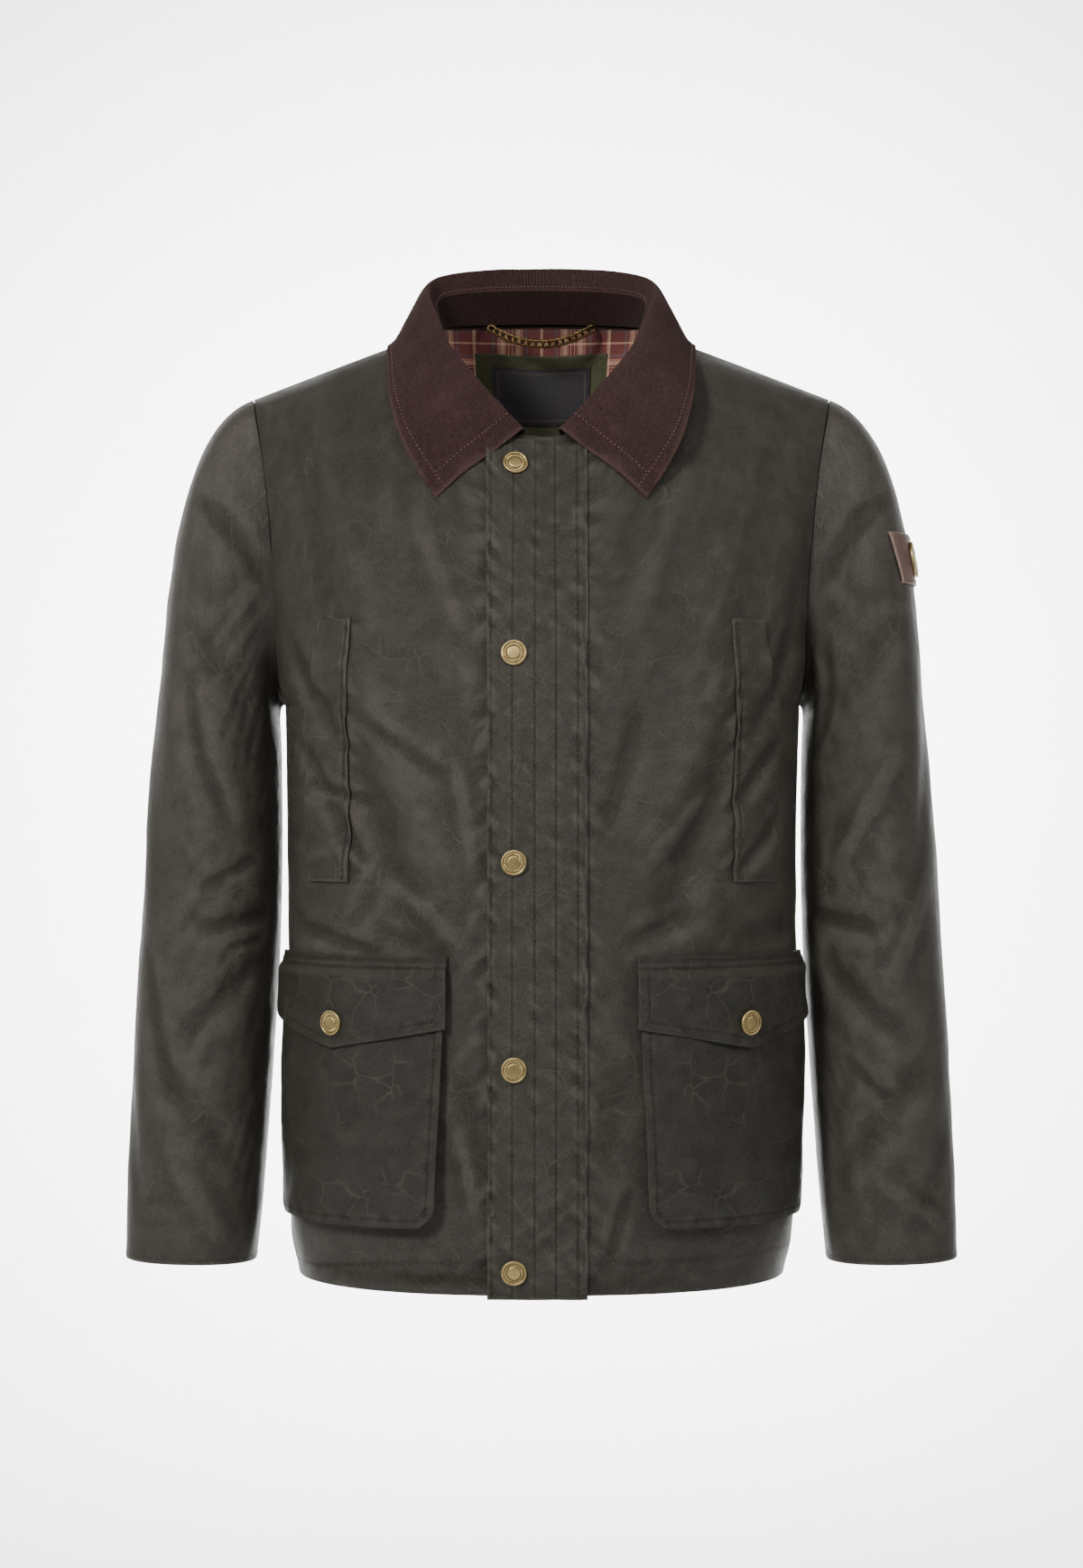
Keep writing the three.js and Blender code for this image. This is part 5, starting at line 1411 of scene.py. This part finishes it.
patch = inside_sheet(
    "neck_patch", PATCH["half"], 60, height_rows(PATCH["low"], PATCH["high"], 44), PATCH["depth"],
    olive, 0.15, "bltr")
label = inside_sheet(
    "neck_label", LABEL["half"], 160, height_rows(LABEL["low"], LABEL["high"], 96), LABEL["depth"],
    label_twill, 0.1, border=label_border)


def inner_stitches(piece, inset, pitch):
    rows = height_rows(piece["low"] + inset, piece["high"] - inset, 40)
    reach = piece["half"] - inset
    lines = [(np.full(40, s * reach), rows) for s in (-1, 1)]
    lines += [(np.linspace(-reach, reach, 60), np.full(60, rows[k])) for k in (0, -1)]
    for d, level in lines:
        points, normals = pattern_cloth(d, level, False, -piece["depth"] - 0.15)
        stitch_row("wax", points, -normals, pitch, pitch * 0.75, 0.5, 0.3)


inner_stitches(PATCH, 2.4, 3.0)
inner_stitches(LABEL, 1.4, 2.4)
print(lining.name, patch.name, label.name)


# %% Hanger chain
def make_chain():
    span, high, sag, plane = 41.0, 8.2, 13.0, 44.6
    fine = np.linspace(-span, span, 2000)
    path = vectors(fine, plane + 0 * fine, high - sag * (1 - (fine / span) ** 2))
    run = run_along(path)
    links, ring, tube = 16, 20, 8
    long, broad, wire, twist, tilt = 4.1, 2.7, 0.95, 0.7, math.radians(22)
    vertices, faces = [], []
    for k in range(links):
        at = run[-1] * (k + 0.5) / links
        centre = read_along(run, path, at)
        ahead = unit(read_along(run, path, at + 1) - centre)
        up = np.array([-ahead[2], 0, ahead[0]])
        wide = up * math.cos(tilt) + np.cross(ahead, up) * math.sin(tilt)
        flat = np.cross(ahead, wide)
        base = len(vertices)
        for i in range(ring):
            a = 2 * math.pi * i / ring
            bend = ahead * long * math.cos(a) + wide * broad * math.sin(a) + flat * twist * math.sin(2 * a)
            out = unit(ahead * math.cos(a) + wide * math.sin(a))
            row, next_row = base + i * tube, base + (i + 1) % ring * tube
            for j in range(tube):
                b, j2 = 2 * math.pi * j / tube, (j + 1) % tube
                vertices.append(centre + bend + (out * math.cos(b) + flat * math.sin(b)) * wire)
                faces.append([row + j, next_row + j, next_row + j2, row + j2])
    obj = link_mesh("hanger_chain", np.array(vertices), faces, chain_brass, rub_and_shade=np.zeros(len(vertices)))
    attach(obj, "chain")
    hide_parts("hanger_chain")
    return obj


chain = make_chain()
print("chain", len(chain.data.polygons), "quads")

# %% [markdown]
# ## Snaps and badge
#
# Each snap's cap is pressed brass: a rolled rim, a ring of short bars in a sunk track and a
# smooth raised disc in the middle. The badge on the wearer's left sleeve is a strap of leather
# with a plain oval plaque.

# %% Pressed brass
def pressed_brass(name, place, normal, angle, radius, height, sunk, broad=1, tall=1):
    # a profile of radius and height, swept round the normal
    up = np.array([0, 0, 1.0]) - normal * normal[2]
    up = up / np.linalg.norm(up)
    right = np.cross(up, normal)
    ring = broad * np.cos(angle)[:, None] * right + tall * np.sin(angle)[:, None] * up
    points = place + radius[..., None] * ring + height[..., None] * normal
    quads = cells(*points.shape[:2], closed=True)
    obj = link_mesh(name, points.reshape(-1, 3), quads, snap_brass, rub_and_shade=sunk)
    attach(obj, "jacket")
    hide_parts(name)
    return obj


# %% Snap caps
SNAP_PROFILE = np.array([
    (9.2, 0), (9.4, 0.5), (9.4, 1.5), (9.2, 2.1), (8.8, 2.4), (8.2, 2.45), (7.8, 2.3), (7.6, 1.9),
    (7.3, 1.72), (6.9, 1.7), (6.5, 1.7), (6.1, 1.7), (5.6, 1.7), (5.2, 1.7), (4.9, 1.75), (4.7, 2.05),
    (4.4, 2.25),
    (3.8, 2.3), (2.8, 2.32), (1.4, 2.36), (0.02, 2.38)])
BARS = 26


def make_snap(name, place, normal):
    segments = BARS * 6
    angle = np.arange(segments) * 2 * np.pi / segments
    radius, height = SNAP_PROFILE[:, :1], SNAP_PROFILE[:, 1:] + 0 * angle
    track = smooth(5.0, 5.5, radius) * (1 - smooth(6.8, 7.3, radius))
    height = height + 0.5 * track * (np.sin(angle * BARS) > -0.1)
    sunk = np.where((height < 1.95) & (radius < 7.7) & (radius > 4.6), -0.9, 0.0)
    return pressed_brass(name, place, unit(normal), angle, radius, height, sunk)


SNAP_LINE, SNAP_LEVELS = -20.0, (-116, -258, -410, -561, -709)
snaps = []
for k, level in enumerate(SNAP_LEVELS):
    at = float(level_at(np.array(SNAP_LINE), level, True)) if level > ARMPIT else float(level)
    place, normal = body_cloth(np.array(SNAP_LINE), np.array(at), True, PLACKET_LIFT)
    snaps.append(make_snap(f"placket_snap_{k + 1}", place, normal))
for word, side in (("left", 1), ("right", -1)):
    at = np.array(FLAP["point"]), np.array(FLAP_DROPS[1] + 18)
    place, normal = flap_cloth(side, *at, flaps[word][1], 0.1)
    snaps.append(make_snap(f"pocket_snap_{word}", place, normal))
print(len(snaps), "snaps")


# %% Sleeve badge and plaque
def down_at(turn, level):
    low, high = np.zeros(np.shape(turn)), np.ones(np.shape(turn))
    for _ in range(26):
        middle = (low + high) / 2
        above = sleeve_surface(turn, middle)[..., 2] > level
        low, high = np.where(above, middle, low), np.where(above, high, middle)
    return low


def badge_cloth(turn, level, lift):
    return sleeve_cloth(turn, down_at(turn, level), lift)


BADGE = dict(front=-0.045, back=0.085, bottom=-199, top=-161, lift=2.4, thick=1.8)
STITCHED_TURNS, STITCHED_LEVELS = (-0.039, 0.079), (-196.6, -163.4)
turn, level = np.meshgrid(
    np.linspace(BADGE["front"], BADGE["back"], 50), np.linspace(BADGE["bottom"], BADGE["top"], 40))
points, normals = badge_cloth(turn, level, BADGE["lift"])
uv = np.stack([turn * GIRTH, level], -1)
points, normals, uv = turned(points, normals, uv, BADGE["thick"], "bltr", 1)
badge_rub = ridge_rub_and_shade(points, normals, 2)
badge = sheet("sleeve_badge", points, uv, leather, flip=True, rub_and_shade=badge_rub)
badge_lines = [(np.full(30, t), np.linspace(-197, -163, 30)) for t in STITCHED_TURNS]
badge_lines += [(np.linspace(*STITCHED_TURNS, 40), np.full(40, z)) for z in STITCHED_LEVELS]
for turn, level in badge_lines:
    stitch_row("collar", *badge_cloth(turn, level, BADGE["lift"] + 0.1), 2.6, 1.9, 0.5, 0.3)

# %% Plaque: share of the radius, height
PLAQUE_PROFILE = np.array([
    (1, 0), (1, 1.2), (0.985, 1.5), (0.94, 1.65), (0.89, 1.6), (0.86, 1.35), (0.8, 1.2), (0.6, 1.25),
    (0.42, 1.3), (0.38, 1.5), (0.3, 1.6), (0.15, 1.65), (0.002, 1.66)])
angle = np.arange(72) * 2 * np.pi / 72
radius, height = PLAQUE_PROFILE[:, :1], PLAQUE_PROFILE[:, 1:] + 0 * angle
sunk = np.where((radius > 0.4) & (radius < 0.88), -0.6, 0.0) + 0 * angle
place, normal = badge_cloth(np.array(0.022), np.array(-180.0), 2.7)
plaque = pressed_brass("badge_plaque", place, normal, angle, radius, height, sunk, broad=11, tall=14)
print(badge.name, plaque.name)

# %% [markdown]
# ## The remaining lines of stitching
#
# The hem is turned up and stitched. The shoulder and side seams are felled, with one line of
# stitching beside the seam. Last, painted shade darkens the cloth along every line of
# stitching, in the hollow that the thread pulls in.

# %% Hem, shoulder and side seams
for side in (1, -1):
    d = side * np.linspace(2, FRONT_WIDTH - 2, 300)
    rise = 24 if side > 0 else lerp(24, 12, smooth(60, 220, np.abs(d)))
    stitch_body(d, HEM + rise, True)
    level = np.linspace(HEM + 2, ARMPIT - 2, 300)
    beside_seam = side * (panel_edge(level, False) - 5)
    stitch_row("wax", *body_cloth(beside_seam, level, False, 0.05))
    stitch_body(side * np.linspace(120, BACK_WIDTH - 6, 60), TOP - 5.0, False)
stitch_body(np.linspace(-BACK_WIDTH + 2, BACK_WIDTH - 2, 500), HEM + 14.0, False)
sew("wax", "shell_stitching", thread)


def shade_stitch_lines(pieces, depth=0.85, reach=1.2):
    # painted shade: the value is lowered near each stitch, so the cloth is painted darker and duller there
    centres = np.concatenate(stitch_store["wax"]).reshape(-1, 6, 3).mean(1)
    lines = KDTree(len(centres))
    for k, centre in enumerate(centres):
        lines.insert(centre, k)
    lines.balance()
    for piece in pieces:
        count = len(piece.data.vertices)
        places, rub_and_shade = np.empty(count * 3), np.empty(count)
        piece.data.vertices.foreach_get("co", places)
        piece.data.attributes["rub_and_shade"].data.foreach_get("value", rub_and_shade)
        away = np.array([lines.find(place)[2] for place in places.reshape(-1, 3) / MM])
        piece.data.attributes["rub_and_shade"].data.foreach_set("value", rub_and_shade - depth * np.exp(-((away / reach) ** 2)))


sewn = [front_left, front_right, back, placket, *welts, *sleeves]
sewn += [pocket[0] for pocket in pockets] + [flap[0] for flap in flaps.values()]
# painted shade along every line of stitching
shade_stitch_lines(sewn)
print("wax settled along the stitching of", len(sewn), "pieces")
sew("collar", "collar_stitching", collar_thread)

# %% [markdown]
# ## Flat sizes of the cloth
#
# The flat size that each sheet was cut to, as on the pattern, is printed beside the area that it was made
# with.


# %% Flat sizes
flat_sizes = [(front_left, 0.27, 0.70), (front_right, 0.27, 0.70), (back, 0.55, 0.78)]
flat_sizes += [(placket, 0.076, 0.66)] + [(welt, 0.045, 0.19) for welt in welts]
for front_piece, gusset in pockets:
    flat_sizes += [(front_piece, 0.175, 0.185), (gusset, 0.5, 0.0102)]
flat_sizes += [(flap, 0.178, 0.064) for flap, _ in flaps.values()]
flat_sizes += [(sleeve, 0.4, 0.66) for sleeve in sleeves]
flat_sizes += [(leaf, 0.68, 0.14), (stand, 0.4, 0.03), (lining, 0.54, 0.74)]
flat_sizes += [(patch, 0.1, 0.07), (label, 0.078, 0.05), (badge, 0.058, 0.044)]
for piece, width, length in flat_sizes:
    made = sum(face.area for face in piece.data.polygons)
    print(piece.name, "flat", width, length, "made", round(made, 4))

# %% [markdown]
# ## Studio
#
# The jacket hangs in front of a pale paper sweep that curves up from the floor. The key light
# stands above and to the left of the camera. A weaker one on the right and a faint one on the
# far left fill the shadows, and a small one looks into the neck. A wide light behind the jacket
# lights only the paper, so the dark cloth stands out against it. A dim white world gives the
# waxed cloth its pale bloom at the edges.


# %% Floor, lights and world
def make_sweep():
    floor, bend_at, bend = -1.35, 1.2, 1.2
    profile = [(-3.0, floor), (bend_at, floor)]
    for a in np.linspace(0.1, math.pi / 2, 12):
        profile.append((bend_at + bend * math.sin(a), floor + bend * (1 - math.cos(a))))
    profile.append((bend_at + bend, 3.2))
    vertices = [(x, y, z) for y, z in profile for x in (-4, 4)]
    faces = [(2 * k, 2 * k + 1, 2 * k + 3, 2 * k + 2) for k in range(len(profile) - 1)]
    mesh = bpy.data.meshes.new("sweep")
    mesh.from_pydata(vertices, [], faces)
    mesh.polygons.foreach_set("use_smooth", [True] * len(faces))
    obj = bpy.data.objects.new("sweep", mesh)
    scene.collection.objects.link(obj)
    material, tree, shader = new_material("studio_paper")
    place = node(tree, "ShaderNodeTexCoord").outputs["Object"]
    grain = noise(tree, place, 40, 2)
    colour = mix_colour(tree, stretch(tree, grain, 0.3, 0.7), (0.88, 0.88, 0.87), (0.9, 0.9, 0.9))
    tree.links.new(colour, shader.inputs["Base Color"])
    shader.inputs["Roughness"].default_value = 0.9
    mesh.materials.append(material)


def soft_light(name, location, target, size, power, spread=180):
    data = bpy.data.lights.new(name, "AREA")
    data.size, data.energy, data.spread = size, power, math.radians(spread)
    obj = bpy.data.objects.new(name, data)
    obj.location = location
    obj.rotation_euler = (Vector(target) - Vector(location)).to_track_quat("-Z", "Y").to_euler()
    scene.collection.objects.link(obj)
    return obj


make_sweep()
middle = (0, 0, -0.35)
lights = [
    soft_light("key", (-1.3, -1.9, 0.75), middle, 0.5, 64),
    soft_light("fill_left", (-2.4, -0.3, 0.0), middle, 0.8, 9),
    soft_light("fill_right", (2.1, -1.2, 0.5), middle, 0.6, 27),
    soft_light("neck_light", (0.1, -0.95, 0.42), (0, 0, -0.12), 0.3, 4.2),
    soft_light("paper_light", (0, 0.7, -0.25), (0, 2.4, -0.25), 2.2, 190, 110)]
world = bpy.data.worlds.new("studio")
world.use_nodes = True
background = world.node_tree.nodes["Background"]
background.inputs["Color"].default_value = (1, 1, 1, 1)
background.inputs["Strength"].default_value = 0.1
scene.world = world
print([light.name for light in lights])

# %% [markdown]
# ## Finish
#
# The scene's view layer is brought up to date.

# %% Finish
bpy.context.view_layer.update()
